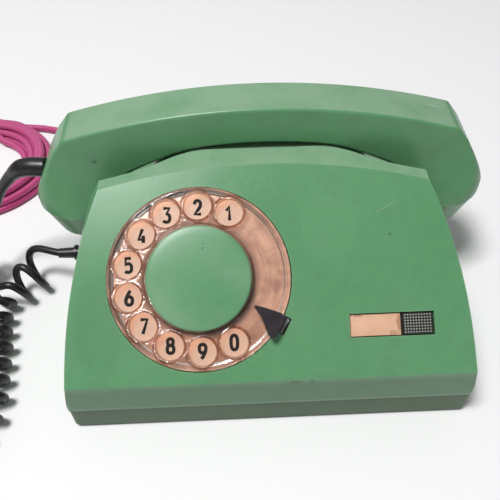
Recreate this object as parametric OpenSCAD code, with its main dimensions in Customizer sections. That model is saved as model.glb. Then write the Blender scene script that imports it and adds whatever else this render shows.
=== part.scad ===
// Desk telephone with a rotary dial: housing on a tray, handset across a cradle, dial, ringer and cords.
// Millimetres. +Z up, -Y is the front, +X is the user's right. Z = 0 is the table.

/* [Body] */

// Width at the seam between housing and tray
body_width = 200; // [170:1:230]
// Depth from the front lip to the rear wall
body_depth = 172; // [150:1:200]
// Height of the lip where the front panel starts
lip_height = 39; // [33:0.5:50]
// Slope of the front panel from level, degrees
panel_slope = 35.6; // [25:0.1:45]
// Height of the panel's top edge at its corners
corner_height = 93.5; // [85:0.5:105]
// Width across the panel's top corners
top_width = 159.4; // [140:0.2:180]
// Wall thickness of the mouldings
wall = 2.8; // [2:0.1:4]
// Height of the seam between housing and tray
seam_height = 17.2; // [13:0.1:25]
// Gap under the tray left by the feet
foot_gap = 2; // [1:0.5:4]
// Height of the side decks that the handset's cups hang over
deck_height = 37.5; // [33:0.5:43]

/* [Dial] */

// Diameter of the finger wheel
wheel_diameter = 86; // [70:0.5:100]
// Diameter of a finger hole
finger_hole = 13.6; // [12:0.1:15]
// Radius of the circle the finger holes lie on
hole_ring = 34.3; // [28:0.1:38]
// Angle between neighbouring holes, degrees
hole_step = 25.9; // [24:0.1:30]
// Angle of the hole for digit one, clockwise from the top, degrees
first_hole = 26.3; // [0:0.1:40]
// Diameter of the cap in the middle of the wheel
cap_diameter = 49.5; // [40:0.5:56]
// Thickness of the finger wheel
wheel_thickness = 3.4; // [2.5:0.1:5]
// Dial centre left of the middle
dial_left = 32.5; // [0:0.5:50]
// Dial centre up the panel from the lip
dial_up = 49.9; // [45:0.1:60]

/* [Handset] */

// Distance from the middle to the axis of each cup
cup_centre = 97.3; // [85:0.1:105]
// Diameter of the cups at the cap seam
cup_diameter = 47.8; // [42:0.2:60]
// Height of the handset's top edge in the middle
handset_top = 120; // [110:0.5:130]
// Drop of the top edge from the middle to the ends
handset_arch = 14.7; // [5:0.1:25]
// Depth of the flat top face
top_face = 25; // [18:0.5:35]
// Height of the seam between shell and caps
cap_seam = 63.5; // [55:0.5:75]
// Height of the caps' lower faces
cap_bottom = 43.7; // [41:0.1:55]
// Position of the handset's middle plane from the body's middle
handset_y = 25; // [15:0.5:35]

/* [Hidden] */

$fn = 64;
front = -body_depth / 2;
rear = body_depth / 2;
sl = sin(panel_slope);
cl = cos(panel_slope);
half_seam = body_width / 2 + 0.1;
half_lip = half_seam - 4.1;
half_top = top_width / 2;
crest_rise = 6;
crest_height = corner_height + crest_rise;
wheel_r = wheel_diameter / 2;
opening_r = wheel_r + 0.8;
cup_r = cup_diameter / 2;
cap_r = cap_diameter / 2;
corner_r = 2.8;
shell_screws = [[-82, -68], [82, -68], [-82, 66], [82, 66]];

// levels along the dial's axis, from the panel face
wheel_low = 0.2;
wheel_high = wheel_low + wheel_thickness;
plate_top = -2.6;
frame_top = -4.2;
frame_low = -6.2;
gear_top = -12.6;
back_top = -24;

// gears: pitch radius = module * teeth / 2
main_teeth = 48;
main_module = 1.0;
pinion_teeth = 12;
pulse_at = [30, 0];
second_teeth = 35;
second_module = 0.8;
rotor_teeth = 10;
rotor_angle = 105;
rotor_gap = second_module * (second_teeth + rotor_teeth) / 2;
rotor_at = pulse_at + rotor_gap * [cos(rotor_angle), sin(rotor_angle)];

module on_panel() {
    translate([0, front, lip_height]) rotate([panel_slope, 0, 0]) children();
}

module on_dial() {
    on_panel() translate([-dial_left, dial_up, 0]) children();
}

// place a child at a clockwise angle from the dial's top
module clockwise(a, r) {
    rotate([0, 0, -a]) translate([0, r, 0]) children();
}

module tube(r_out, r_in, h) {
    difference() {
        cylinder(h = h, r = r_out);
        translate([0, 0, -1]) cylinder(h = h + 2, r = r_in);
    }
}

module box(size, at) {
    translate(at - [size[0] / 2, size[1] / 2, 0]) cube(size);
}

// rounded rectangle from a cross of two rectangles and four discs
module soft_rectangle(w, d, r) {
    square([w - 2 * r, d], center = true);
    square([w, d - 2 * r], center = true);
    for (sx = [-1, 1])
        for (sy = [-1, 1])
            translate([sx * (w / 2 - r), sy * (d / 2 - r)]) circle(r = r);
}

// ---------- outlines of the body ----------

rise = corner_height - lip_height;
function half_width(z) =
    z < lip_height
        ? half_lip + (half_seam - half_lip) * (lip_height - z) / (lip_height - seam_height)
        : half_lip - (half_lip - half_top) * pow((z - lip_height) / rise, 2.2);
side_steps = [for (i = [0:7]) lip_height + rise * i / 7];
arch_steps = 16;
function arch_z(u) = corner_height + crest_rise * (1 - u * u);
function half_outline(t, low) = concat(
    [[half_seam - t, low], [half_seam - t, seam_height]],
    [for (z = side_steps) [half_width(z) - t, z]],
    [[half_width(corner_height + 8) - t, corner_height + 8]]
);
function flip(list) = [for (i = [len(list) - 1:-1:0]) [-list[i][0], list[i][1]]];
function front_outline(t, low) = concat(half_outline(t, low), flip(half_outline(t, low)));

module across(w) {
    rotate([90, 0, 90]) translate([0, 0, -w / 2]) linear_extrude(height = w) children();
}

module through(y0, y1) {
    translate([0, y1, 0]) rotate([90, 0, 0]) linear_extrude(height = y1 - y0) children();
}

function panel_z(y) = lip_height + (y - front) * sl / cl;

crest_y = front + (crest_height - lip_height) * cl / sl;
module body_side(low) {
    polygon([
        [front + 0.8, low], [front + 0.8, seam_height], [front, lip_height], [crest_y, crest_height],
        [3, crest_height + 1], [7.5, crest_height + 1.6], [9.8, crest_height + 1.3],
        [11.4, crest_height - 0.6], [13, crest_height - 2], [36, crest_height - 2],
        [38.5, crest_height - 1.2], [41, crest_height + 0.6], [45, crest_height + 0.4],
        [49, crest_height - 2], [78, 62.5], [83, 54.5], [rear, 44.5], [rear, low]
    ]);
}

pedestal_half = [
    [57, deck_height], [56.5, 64.5], [56, 81.5], [54.8, 86.5], [52, 90.1], [47, 92.9],
    [41, 95.3], [36, 96.9], [30, 97.7], [22, 98.5]
];
// rear edge of the ridge and the wings in plan, from the middle outwards
ridge_back = [
    [-1, 11.4], [20, 11.4], [30, 10.9], [40, 9.4], [45.5, 7.3], [51, 4.6], [56, 2.4],
    [63, 0.2], [71, -1.6], [80, -3], [140, -4]
];
// the open bay that one cup hangs in, beside the pedestal and behind the wing
module cup_bay(t) {
    intersection() {
        through(-20, rear + 10) polygon(concat(
            [[130, deck_height - t]],
            [for (p = pedestal_half) [p[0] - t, p[1] - t]],
            [[-1, 100.1 - t], [-1, 130], [130, 130]]
        ));
        translate([0, 0, deck_height - t - 1]) linear_extrude(height = 120) polygon(concat(
            [for (p = ridge_back) [p[0], p[1] - t]],
            [[140, rear + 10], [-1, rear + 10]]
        ));
    }
}

module above_arch(t) {
    through(front - 10, 12.2) polygon(concat(
        [[half_top - t + 30, corner_height - t - 0.01], [half_top - t + 30, 140], [-half_top + t - 30, 140],
         [-half_top + t - 30, corner_height - t - 0.01]],
        [for (i = [arch_steps:-1:0]) let (u = 1 - 2 * i / arch_steps) [u * (half_top - t), arch_z(u) - t]]
    ));
}

module plan_outline(t) {
    translate([0, 0.4]) soft_rectangle(2 * half_seam - 2 * t, body_depth - 0.8 - 2 * t, corner_r);
}

module body_form(t, low) {
    difference() {
        intersection() {
            translate([0, 0, low]) linear_extrude(height = 130) plan_outline(t);
            through(front - 2, rear + 2) polygon(front_outline(t, low));
            across(2 * half_seam + 4) offset(delta = -t) body_side(low - t);
        }
        above_arch(t);
        cup_bay(t);
        mirror([1, 0, 0]) cup_bay(t);
    }
}

plunger_x = 40;
window_x = [37.4, 77.5];
window_s = [19.4, 30.5];
bush_at = [half_seam - 1.5, 11, 26.5];

module upper_housing() {
    color([0.44, 0.66, 0.5]) difference() {
        union() {
            difference() {
                body_form(0, seam_height);
                body_form(wall, seam_height - 20);
            }
            // screw posts, up into the panel and the decks
            for (p = shell_screws) translate([p[0], p[1], seam_height])
                cylinder(h = (p[1] < 0 ? 47.5 : deck_height - 1.4) - seam_height, r = 4);
            // bosses for the dial's lugs
            on_dial() for (a = [30, 150, 270]) clockwise(a, 48.5)
                translate([0, 0, frame_top]) cylinder(h = -frame_top - 0.6, r = 3.6);
        }
        for (p = shell_screws) translate([p[0], p[1], seam_height - 1]) cylinder(h = 13, r = 1.5);
        on_dial() {
            translate([0, 0, -12]) cylinder(h = 30, r = opening_r, $fn = 96);
            clockwise(121, opening_r + 1) box([8.6, 5.4, 20], [0, 0, -12]);
            for (a = [30, 150, 270]) clockwise(a, 48.5) translate([0, 0, frame_top - 1])
                cylinder(h = 3.2, r = 1.2);
        }
        on_panel() translate([window_x[0], window_s[0], -6])
            cube([window_x[1] - window_x[0], window_s[1] - window_s[0], 12]);
        for (s = [-1, 1]) translate([s * plunger_x, handset_y, 60]) cylinder(h = 50, r = 4.4);
        // side opening for the handset cord, rear opening for the line cord
        translate([-bush_at[0] - 6, bush_at[1], bush_at[2]]) rotate([0, 90, 0]) cylinder(h = 14, r = 4.3);
        translate([-60, rear - 8, bush_at[2]]) rotate([-90, 0, 0]) cylinder(h = 14, r = 4.3);
    }
}

module base_tray() {
    color([0.36, 0.56, 0.42]) {
        difference() {
            translate([0, 0.4, foot_gap]) linear_extrude(height = seam_height - foot_gap - 0.1)
                soft_rectangle(2 * half_seam - 1, body_depth - 1.8, corner_r - 0.3);
            translate([0, 0.4, foot_gap + 2.4]) linear_extrude(height = 30)
                soft_rectangle(2 * half_seam - 6.4, body_depth - 7.2, 2);
            for (p = shell_screws) translate([p[0], p[1], -1]) {
                cylinder(h = 20, r = 1.8);
                cylinder(h = foot_gap + 2.2, r = 3.4);
            }
            for (sx = [-1, 1]) for (y = [-68, 66]) translate([sx * 66, y, -1])
                cylinder(h = foot_gap + 2, r = 7.1);
        }
        for (p = shell_screws) translate([p[0], p[1], foot_gap + 1.2])
            tube(4, 1.8, seam_height - foot_gap - 1.4);
        // stand-offs for the circuit board
        for (x = [18, 70]) for (y = [-60, -14]) translate([x, y, foot_gap + 2.3])
            cylinder(h = 4.6, r = 2.6);
        for (x = [-60, -20]) box([1.6, 60, 2.4], [x, -40, foot_gap + 2.3]);
    }
}

module rubber_feet() {
    color([0.07, 0.07, 0.07]) for (sx = [-1, 1]) for (y = [-68, 66]) translate([sx * 66, y, 0]) {
        cylinder(h = foot_gap + 1, r = 6.9);
    }
}

module base_screws() {
    color([0.7, 0.7, 0.72]) for (p = shell_screws) translate([p[0], p[1], foot_gap + 0.3]) difference() {
        union() {
            cylinder(h = 0.9, r = 2.9);
            cylinder(h = 22, r = 1.45);
        }
        box([3.6, 0.7, 0.9], [0, 0, -0.4]);
        box([0.7, 3.6, 0.9], [0, 0, -0.4]);
    }
}

// ---------- dial ----------

module number_plate() {
    color([0.93, 0.8, 0.66]) on_dial() translate([0, 0, frame_top]) difference() {
        cylinder(h = plate_top - frame_top, r = opening_r - 0.4, $fn = 96);
        translate([0, 0, -1]) cylinder(h = 4, r = 6.5);
        clockwise(121, opening_r + 1) box([8.6, 5.4, 6], [0, 0, -2]);
    }
}

module dial_frame() {
    color([0.72, 0.72, 0.7]) on_dial() difference() {
        union() {
            translate([0, 0, frame_low]) cylinder(h = frame_top - frame_low - 0.05, r = opening_r - 1.2);
            for (a = [30, 150, 270]) clockwise(a, 45) box([7, 14, 1.95], [0, 0, frame_low]);
            clockwise(121, 44) box([8, 6, 1.95], [0, 0, frame_low]);
            translate([0, 0, -11]) cylinder(h = 5.5, r = 6);
            translate([0, 0, -11]) cylinder(h = -frame_top + 6, r = 4.4);
        }
        translate([0, 0, -30]) cylinder(h = 40, r = 3.05);
        translate([pulse_at[0], pulse_at[1], -30]) cylinder(h = 40, r = 1.55);
        translate([rotor_at[0], rotor_at[1], -30]) cylinder(h = 40, r = 1.25);
        for (a = [30, 150, 270]) clockwise(a, 48.5) translate([0, 0, -30]) cylinder(h = 40, r = 1.3);
    }
}

module dial_back_plate() {
    color([0.66, 0.66, 0.64]) on_dial() difference() {
        union() {
            translate([0, 0, back_top - 1.5]) cylinder(h = 1.5, r = 40);
            for (a = [90, 210, 330]) rotate([0, 0, a]) translate([37, 0, back_top - 0.2])
                cylinder(h = frame_low - back_top + 0.15, r = 2.6);
        }
        // corner cut off beside the wall of the left bay
        translate([-60, 25.5, back_top - 2]) cube([40.4, 30, 3]);
        translate([0, 0, -30]) cylinder(h = 10, r = 3.05);
        translate([pulse_at[0], pulse_at[1], -30]) cylinder(h = 10, r = 1.55);
        translate([rotor_at[0], rotor_at[1], -30]) cylinder(h = 10, r = 1.25);
        for (a = [30, 75, 165, 255]) rotate([0, 0, a]) translate([20, 0, -30]) cylinder(h = 10, r = 5);
    }
}

module dial_screws() {
    color([0.75, 0.72, 0.62]) on_dial() for (a = [30, 150, 270]) clockwise(a, 48.5) {
        translate([0, 0, frame_low - 1.6]) cylinder(h = 1.55, r = 2.3);
        translate([0, 0, frame_low - 0.2]) cylinder(h = 3.6, r = 1.15);
    }
}

stop_points = [
    [28.6, 119.5], [29.6, 117.4], [35.5, 115.9], [41.8, 115.2], [43.4, 116.4],
    [44.3, 119.8], [45, 130], [43.4, 132], [41.6, 131.4], [34.8, 124.4]
];
module finger_stop() {
    color([0.05, 0.05, 0.05]) on_dial() {
        translate([0, 0, wheel_high + 0.5]) linear_extrude(height = 2.2)
            polygon([for (p = stop_points) [p[0] * sin(p[1]), p[0] * cos(p[1])]]);
        clockwise(121, 45) box([7.6, 2.8, wheel_high + 0.6 - frame_top], [0, 0, frame_top]);
    }
}

module finger_wheel() {
    color([0.95, 0.86, 0.76, 0.45]) on_dial() difference() {
        union() {
            translate([0, 0, 1.4]) cylinder(h = 1.8, r = wheel_r - 1, $fn = 96);
            rotate_extrude($fn = 96) polygon([
                [wheel_r - 2.6, wheel_low + 0.5], [wheel_r - 2.2, wheel_low], [wheel_r - 0.4, wheel_low],
                [wheel_r, wheel_low + 0.5], [wheel_r, wheel_high - 0.9], [wheel_r - 0.7, wheel_high - 0.2],
                [wheel_r - 1.5, wheel_high], [wheel_r - 2.4, wheel_high - 0.4]
            ]);
            translate([0, 0, wheel_low]) cylinder(h = 2.2, r = cap_r + 1.6);
            for (i = [0:9]) clockwise(first_hole - i * hole_step, hole_ring)
                translate([0, 0, -2.2]) cylinder(h = 5.6, r = finger_hole / 2 + 0.9, $fn = 48);
        }
        for (i = [0:9]) clockwise(first_hole - i * hole_step, hole_ring)
            translate([0, 0, -4]) cylinder(h = 12, r = finger_hole / 2, $fn = 48);
        translate([0, 0, 2.2]) cylinder(h = 5, r = cap_r + 0.4, $fn = 96);
        translate([0, 0, -4]) cylinder(h = 12, r = 3);
    }
}

module wheel_cap() {
    color([0.44, 0.66, 0.5]) on_dial() rotate_extrude($fn = 96) polygon([
        [6, 2.25], [cap_r, 2.25], [cap_r, 3.6], [cap_r - 0.4, 4.1], [cap_r - 1.2, 4.3], [cap_r - 8, 4.6],
        [8, 4.8], [0, 4.85], [0, 3.9], [6, 3.9]
    ]);
}

module wheel_nut() {
    color([0.75, 0.75, 0.72]) on_dial() translate([0, 0, 2.22]) difference() {
        cylinder(h = 1.5, r = 5, $fn = 6);
        translate([0, 0, -1]) cylinder(h = 4, r = 3.02);
    }
}

module main_shaft() {
    color([0.7, 0.7, 0.72]) on_dial() translate([0, 0, -27]) cylinder(h = 30.4, r = 2.98);
}

// teeth with straight flanks, thinned so that two gears run with play
function tooth(a, r, m, half) = [
    for (p = [
        [r - 1.3 * m, half + 0.36 * 1.3 * m], [r, half], [r + 0.9 * m, half - 0.36 * 0.9 * m],
        [r + 0.9 * m, -half + 0.36 * 0.9 * m], [r, -half], [r - 1.3 * m, -half - 0.36 * 1.3 * m]
    ]) let (b = a - p[1] / r * 180 / PI) [p[0] * cos(b), p[0] * sin(b)]
];
module gear_disc(teeth, m, h) {
    r = m * teeth / 2;
    half = PI * m / 4 - 0.19;
    linear_extrude(height = h) polygon([
        for (i = [0:teeth - 1]) for (p = tooth(i * 360 / teeth, r, m, half)) p
    ]);
}

module main_gear() {
    color([0.82, 0.68, 0.38]) on_dial() difference() {
        union() {
            translate([0, 0, gear_top - 2.6]) gear_disc(main_teeth, main_module, 2.6);
            translate([0, 0, gear_top - 5]) cylinder(h = 3, r = 6);
        }
        translate([0, 0, -30]) cylinder(h = 40, r = 3);
        for (a = [0:60:300]) rotate([0, 0, a + 30]) translate([14, 0, -30]) cylinder(h = 40, r = 4.6);
    }
}

spring_turns = 6;
spring_steps = 24;
function spring_at(i, w) =
    let (a = i * 360 / spring_steps, r = 8.2 + i * 11 / (spring_turns * spring_steps) + w)
    [r * cos(a), r * sin(a)];
module return_spring() {
    color([0.35, 0.36, 0.42]) on_dial() translate([0, 0, -11.8]) linear_extrude(4.6) polygon(concat(
        [for (i = [0:spring_turns * spring_steps]) spring_at(i, 0)],
        [for (i = [spring_turns * spring_steps:-1:0]) spring_at(i, 0.5)]
    ));
}

module pulse_gear() {
    color([0.85, 0.82, 0.72]) on_dial() translate([pulse_at[0], pulse_at[1], 0]) {
        translate([0, 0, -25.8]) cylinder(h = 21.2, r = 1.5);
        translate([0, 0, gear_top - 3]) rotate([0, 0, 180 / pinion_teeth])
            gear_disc(pinion_teeth, main_module, 3.4);
        translate([0, 0, -18.6]) rotate([0, 0, rotor_angle]) gear_disc(second_teeth, second_module, 1.6);
        translate([0, 0, -21.8]) linear_extrude(height = 1.8) {
            circle(r = 3.6);
            square([10.4, 2.6], center = true);
        }
    }
}

module pulse_contacts() {
    color([0.75, 0.6, 0.35]) on_dial() {
        box([4.4, 9, 4.2], [38.4, -12, -23.95]);
        for (x = [36.9, 38.2, 39.4]) box([0.4, 16, 1.6], [x, -4, -22]);
    }
}

module governor_rotor() {
    color([0.7, 0.7, 0.72]) on_dial() translate([rotor_at[0], rotor_at[1], 0]) {
        translate([0, 0, -25.8]) cylinder(h = 21.2, r = 1.2);
        translate([0, 0, -18.9]) rotate([0, 0, rotor_angle + 180 + 180 / rotor_teeth])
            gear_disc(rotor_teeth, second_module, 2.2);
        translate([0, 0, -22.8]) linear_extrude(height = 2.2) {
            circle(r = 2.6);
            square([13.4, 3.4], center = true);
        }
    }
}

module governor_cup() {
    color([0.8, 0.66, 0.36]) on_dial() translate([rotor_at[0], rotor_at[1], back_top + 0.02])
        tube(9.4, 8.2, 4);
}

// ---------- window, label and button ----------

module label_tray() {
    color([0.2, 0.2, 0.2]) on_panel() {
        translate([36, 17.9, -4.6]) cube([25.8, 14, 1.7]);
        translate([37.7, 19.7, -3]) cube([24.1, 10.5, 1.0]);
    }
}

module label_card() {
    color([0.9, 0.76, 0.62]) on_panel() translate([37.7, 19.7, -1.98]) cube([24.1, 10.5, 0.5]);
}

button_x = [62.8, 76.9];
button_s = [19.8, 30.1];
button_top = -1.3;
button_mid = [(button_x[0] + button_x[1]) / 2, (button_s[0] + button_s[1]) / 2];
module recall_button() {
    color([0.06, 0.06, 0.06]) on_panel() {
        translate([button_x[0], button_s[0], -5]) cube([14.1, 10.3, button_top + 5]);
        translate([62.3, 18.2, -4.9]) cube([15.2, 13.5, 1.5]);
        translate([button_mid[0], button_mid[1], -11]) cylinder(h = 7, r = 1.9);
        for (i = [0:9]) for (j = [0:6])
            translate([button_x[0] + 1.05 + i * 1.333, button_s[0] + 1.1 + j * 1.35, button_top - 0.1])
                cylinder(h = 0.55, r1 = 0.46, r2 = 0.32, $fn = 8);
    }
}

module button_spring() {
    color([0.6, 0.6, 0.62]) on_panel() translate([button_mid[0], button_mid[1], -13.8])
        for (z = [0, 1.4, 2.8, 4.2, 5.6]) translate([0, 0, z]) {
            tube(3.4, 2.6, 0.7);
            tube(3.1, 2.7, z < 5 ? 1.5 : 0.6);
        }
}

module button_switch() {
    color([0.75, 0.73, 0.66]) on_panel() {
        translate([63.4, 18.6, -20]) cube([13, 13, 6.1]);
        for (s = [15.4, 32.3]) translate([67, s, -20]) cube([5, 2.3, 17.1]);
        for (s = [17.2, 31]) translate([67, s, -20]) cube([5, 2, 2]);
    }
}

// ---------- handset ----------

end_x = cup_centre + 0.7;
function top_z(x) = handset_top - handset_arch * pow(x / end_x, 2);
handset_end = [
    [end_x, handset_top - handset_arch], [104.5, 97.5], [110, 88.5], [114.5, 80.5], [118.5, 72],
    [cup_centre + cup_r, cap_seam]
];
handset_inner = [
    [cup_centre - cup_r, cap_seam], [72.9, 70.5], [71.5, 77.5], [68.5, 83.5], [64, 87.1], [58, 89.8], [52, 92.4],
    [46, 95.1], [40, 97.1], [32, 98.7], [22, 99.9], [10, 100.7], [0, 100.9]
];
function lowered(list, low) = [for (p = list) [p[0], p[1] == cap_seam ? low : p[1]]];
function backwards(list) = [for (i = [len(list) - 1:-1:0]) list[i]];
function half_handset(low) = concat(
    [for (i = [0:9]) let (x = end_x * i / 10) [x, top_z(x)]],
    lowered(handset_end, low),
    lowered(handset_inner, low)
);
module handset_front(low) {
    polygon(concat(
        half_handset(low),
        [for (p = backwards(half_handset(low))) if (p[0] > 0) [-p[0], p[1]]]
    ));
}

half_face = top_face / 2;
flare = [
    [0, 124.5], [0, 120.5], [0.2, 114.5], [0.5, 109.5], [0.8, 105.3], [1.2, 99.5], [2.4, 92.5], [4.6, 84.5],
    [7.8, 74.5]
];
module handset_side(low) {
    right = concat(
        [for (p = flare) [half_face - 0.8 + p[0], p[1]]],
        [[cup_r, cap_seam], [cup_r, low]]
    );
    translate([handset_y, 0]) polygon(concat(right, [for (p = backwards(right)) [-p[0], p[1]]]));
}

module handset_form(t, low) {
    intersection() {
        through(-20, 70) offset(delta = -t) handset_front(low - t);
        across(260) offset(delta = -t) handset_side(low - t);
        union() {
            translate([-130, -20, 81.5]) cube([260, 90, 60]);
            for (s = [-1, 1]) translate([s * cup_centre, handset_y, low - 1])
                cylinder(h = 84.5 - low, r = cup_r - t, $fn = 96);
        }
    }
}

module handset_shell() {
    color([0.46, 0.68, 0.52]) difference() {
        handset_form(0, cap_seam);
        handset_form(2.5, cap_seam - 10);
        translate([-112, handset_y, 79.5]) rotate([0, -90 - 14, 0]) cylinder(h = 14, r = 4.2);
    }
}

module cap(holes) {
    difference() {
        rotate_extrude($fn = 96) polygon([
            [0, cap_bottom + 1.2], [9, cap_bottom + 0.9], [15.2, cap_bottom], [16.6, cap_bottom],
            [17.4, cap_bottom + 0.8], [cup_r, cap_seam - 0.35], [cup_r - 0.3, cap_seam - 0.05],
            [19.6, cap_seam - 0.05], [19.6, cap_seam + 4], [18, cap_seam + 4], [18, cap_seam - 1],
            [15.6, cap_bottom + 3], [0, cap_bottom + 3.2]
        ]);
        translate([0, 0, cap_bottom - 2]) {
            cylinder(h = 8, r = 1.2, $fn = 16);
            for (i = [0:holes - 1]) rotate([0, 0, i * 360 / holes]) translate([6, 0, 0])
                cylinder(h = 8, r = 1.2, $fn = 16);
        }
    }
}

module ear_cap() {
    color([0.42, 0.63, 0.48]) translate([-cup_centre, handset_y, 0]) cap(6);
}

module mouth_cap() {
    color([0.42, 0.63, 0.48]) translate([cup_centre, handset_y, 0]) cap(3);
}

module capsule(r, h) {
    rotate_extrude() polygon([
        [0, 0], [r - 3, 0], [r, 2], [r, h - 2], [r - 2, h], [r - 6, h], [r - 7, h + 2], [0, h + 2]
    ]);
}

module ear_capsule() {
    color([0.5, 0.5, 0.52]) translate([-cup_centre, handset_y, cap_bottom + 5]) capsule(15.8, 11);
}

module mouth_capsule() {
    color([0.3, 0.3, 0.32]) translate([cup_centre, handset_y, cap_bottom + 5]) capsule(15.8, 12.5);
}

// ---------- hook switch ----------

lever_at = [47, 70.5];
plunger_top = 95.6;
module hook_plungers() {
    color([0.85, 0.84, 0.8]) for (s = [-1, 1]) translate([s * plunger_x, handset_y, 0]) {
        translate([0, 0, 76.5]) cylinder(h = plunger_top - 77.5, r = 3.9);
        translate([0, 0, plunger_top - 1.02]) cylinder(h = 1.02, r1 = 3.9, r2 = 3);
        translate([0, 0, 81.5]) cylinder(h = 2, r = 5.8);
    }
}

module hook_lever() {
    color([0.7, 0.7, 0.68]) difference() {
        union() {
            translate([-43, lever_at[0], lever_at[1]]) rotate([0, 90, 0]) cylinder(h = 86, r = 3);
            for (s = [-1, 1]) translate([s * plunger_x, 0, 0]) across(5) polygon([
                [handset_y - 4, 74.1], [handset_y - 4, 75.9], [handset_y + 4, 75.9],
                [lever_at[0] + 1, lever_at[1] + 2.6], [lever_at[0] + 1, lever_at[1] - 2.4],
                [handset_y + 5, 73.5]
            ]);
            translate([11, 0, 0]) across(6) polygon([[48, 68.5], [60, 69.5], [60, 71.5], [48, 72.5]]);
        }
        translate([-60, lever_at[0], lever_at[1]]) rotate([0, 90, 0]) cylinder(h = 120, r = 1.55);
    }
}

module lever_pin() {
    color([0.6, 0.6, 0.62]) translate([-49.6, lever_at[0], lever_at[1]]) rotate([0, 90, 0])
        cylinder(h = 99.2, r = 1.5);
}

module hook_bracket() {
    color([0.62, 0.62, 0.6]) {
        for (s = [-1, 1]) difference() {
            union() {
                box([2.4, 9, lever_at[1] - 0.5], [s * 46.4, lever_at[0], foot_gap + 2.45]);
                translate([s * 46.4 - 1.2, lever_at[0], lever_at[1]]) rotate([0, 90, 0])
                    cylinder(h = 2.4, r = 4.5);
                box([9, 9, 1.6], [s * 49.6, lever_at[0], foot_gap + 2.45]);
            }
            translate([s * 46.4 - 3, lever_at[0], lever_at[1]]) rotate([0, 90, 0])
                cylinder(h = 6, r = 1.52);
            translate([s * 46.4 - 3, 0, 0]) box([10, 20, 20], [0, lever_at[0], 94.5]);
        }
        box([91, 1.8, 13], [0, lever_at[0] + 8, 48.5]);
        for (s = [-1, 1]) box([2.4, 7, 14], [s * 46.4, lever_at[0] + 5.6, 48.5]);
    }
}

module hook_contacts() {
    color([0.7, 0.58, 0.36]) {
        box([14, 6, 11], [11, 59, 50.5]);
        for (x = [6.5, 11, 15.5]) box([2, 0.5, 8], [x, 59.6, 44.5]);
        for (z = [62.1, 63.9]) box([6, 11, 0.4], [11, 59.5, z]);
    }
}

// ---------- ringer ----------

gong_y = 60;
gong_x = 25;
gong_r = 21;
module ringer_frame() {
    color([0.66, 0.66, 0.64]) {
        difference() {
            box([62, 46, 1.6], [0, gong_y - 10, foot_gap + 2.45]);
            for (s = [-1, 1]) translate([s * 24, gong_y - 26, 0]) cylinder(h = 20, r = 3);
        }
        for (y = [gong_y - 13.4, gong_y + 2.4]) box([6, 1.6, 13], [0, y, foot_gap + 4]);
        translate([0, gong_y - 14.5, 15]) rotate([-90, 0, 0]) cylinder(h = 18, r = 1);
    }
}

module ringer_coils() {
    color([0.62, 0.28, 0.12]) for (s = [-1, 1]) translate([s * 9.5, gong_y - 28, 15]) rotate([-90, 0, 0]) {
        cylinder(h = 10, r = 6.6);
        translate([0, 0, -0.8]) cylinder(h = 1, r = 8.2);
        translate([0, 0, 9.8]) cylinder(h = 1, r = 8.2);
        translate([0, 0, 10.6]) cylinder(h = 1.6, r = 2.4);
    }
    color([0.62, 0.28, 0.12]) box([36, 3, 22], [0, gong_y - 30.3, foot_gap + 4.05]);
}

module gong() {
    rotate_extrude($fn = 64) polygon([
        [2.7, 13], [2.7, 11.6], [12, 11.4], [17.4, 9.4], [gong_r - 1.6, 5], [gong_r - 1.4, 0],
        [gong_r, 0], [gong_r, 5.4], [18.4, 10.6], [12.6, 12.8]
    ]);
}

module left_gong() {
    color([0.75, 0.74, 0.7]) translate([-gong_x, gong_y, 27]) gong();
}

module right_gong() {
    color([0.72, 0.71, 0.67]) translate([gong_x, gong_y, 27]) gong();
}

module gong_posts() {
    color([0.6, 0.6, 0.62]) for (s = [-1, 1]) translate([s * gong_x, gong_y, 0]) {
        translate([0, 0, foot_gap + 4.1]) cylinder(h = 34.5, r = 2.5);
        translate([0, 0, 36.4]) cylinder(h = 2.1, r = 4.4);
        translate([0, 0, 40.05]) cylinder(h = 1.6, r = 4);
    }
}

module clapper() {
    color([0.7, 0.7, 0.66]) difference() {
        union() {
            translate([0, gong_y - 12, 15]) rotate([-90, 0, 0]) cylinder(h = 13, r = 2.4);
            translate([0, gong_y - 0.6, 16]) cylinder(h = 14, r = 0.8);
            translate([0, gong_y - 0.6, 31]) sphere(r = 2.3, $fn = 24);
            box([22, 1.4, 9], [0, gong_y - 11, 10.5]);
        }
        translate([0, gong_y - 16, 15]) rotate([-90, 0, 0]) cylinder(h = 20, r = 1.05);
    }
}

// ---------- electronics ----------

board_z = foot_gap + 6.95;
module circuit_board() {
    color([0.72, 0.55, 0.3]) {
        difference() {
            translate([13, -65, board_z]) cube([62, 56, 1.6]);
            for (x = [18, 70]) for (y = [-60, -14]) translate([x, y, 0]) cylinder(h = 20, r = 1.4);
        }
        for (i = [0:4]) box([8, 2.6, 2.6], [24 + i * 10.5, -52, board_z + 1.58]);
    }
}

module line_transformer() {
    color([0.3, 0.28, 0.26]) {
        box([26, 8, 20], [33, -30, board_z + 1.65]);
        box([17, 18, 14], [33, -30, board_z + 4.5]);
    }
}

module capacitors() {
    color([0.2, 0.36, 0.6]) {
        translate([50, -36, board_z + 8.2]) rotate([0, 90, 0]) cylinder(h = 22, r = 6.5);
        translate([56, -20, board_z + 1.65]) cylinder(h = 14, r = 4.5);
        translate([67, -22, board_z + 1.65]) cylinder(h = 14, r = 4.5);
    }
}

module terminal_block() {
    color([0.12, 0.12, 0.12]) difference() {
        box([14, 44, 10], [-72, 10, foot_gap + 2.45]);
        for (i = [0:5]) translate([-72, -8 + i * 7.2, 8]) {
            cylinder(h = 10, r = 2.2);
            box([16, 0.8, 8], [0, 3.6, 2]);
        }
    }
}

// ---------- cords ----------

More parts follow.
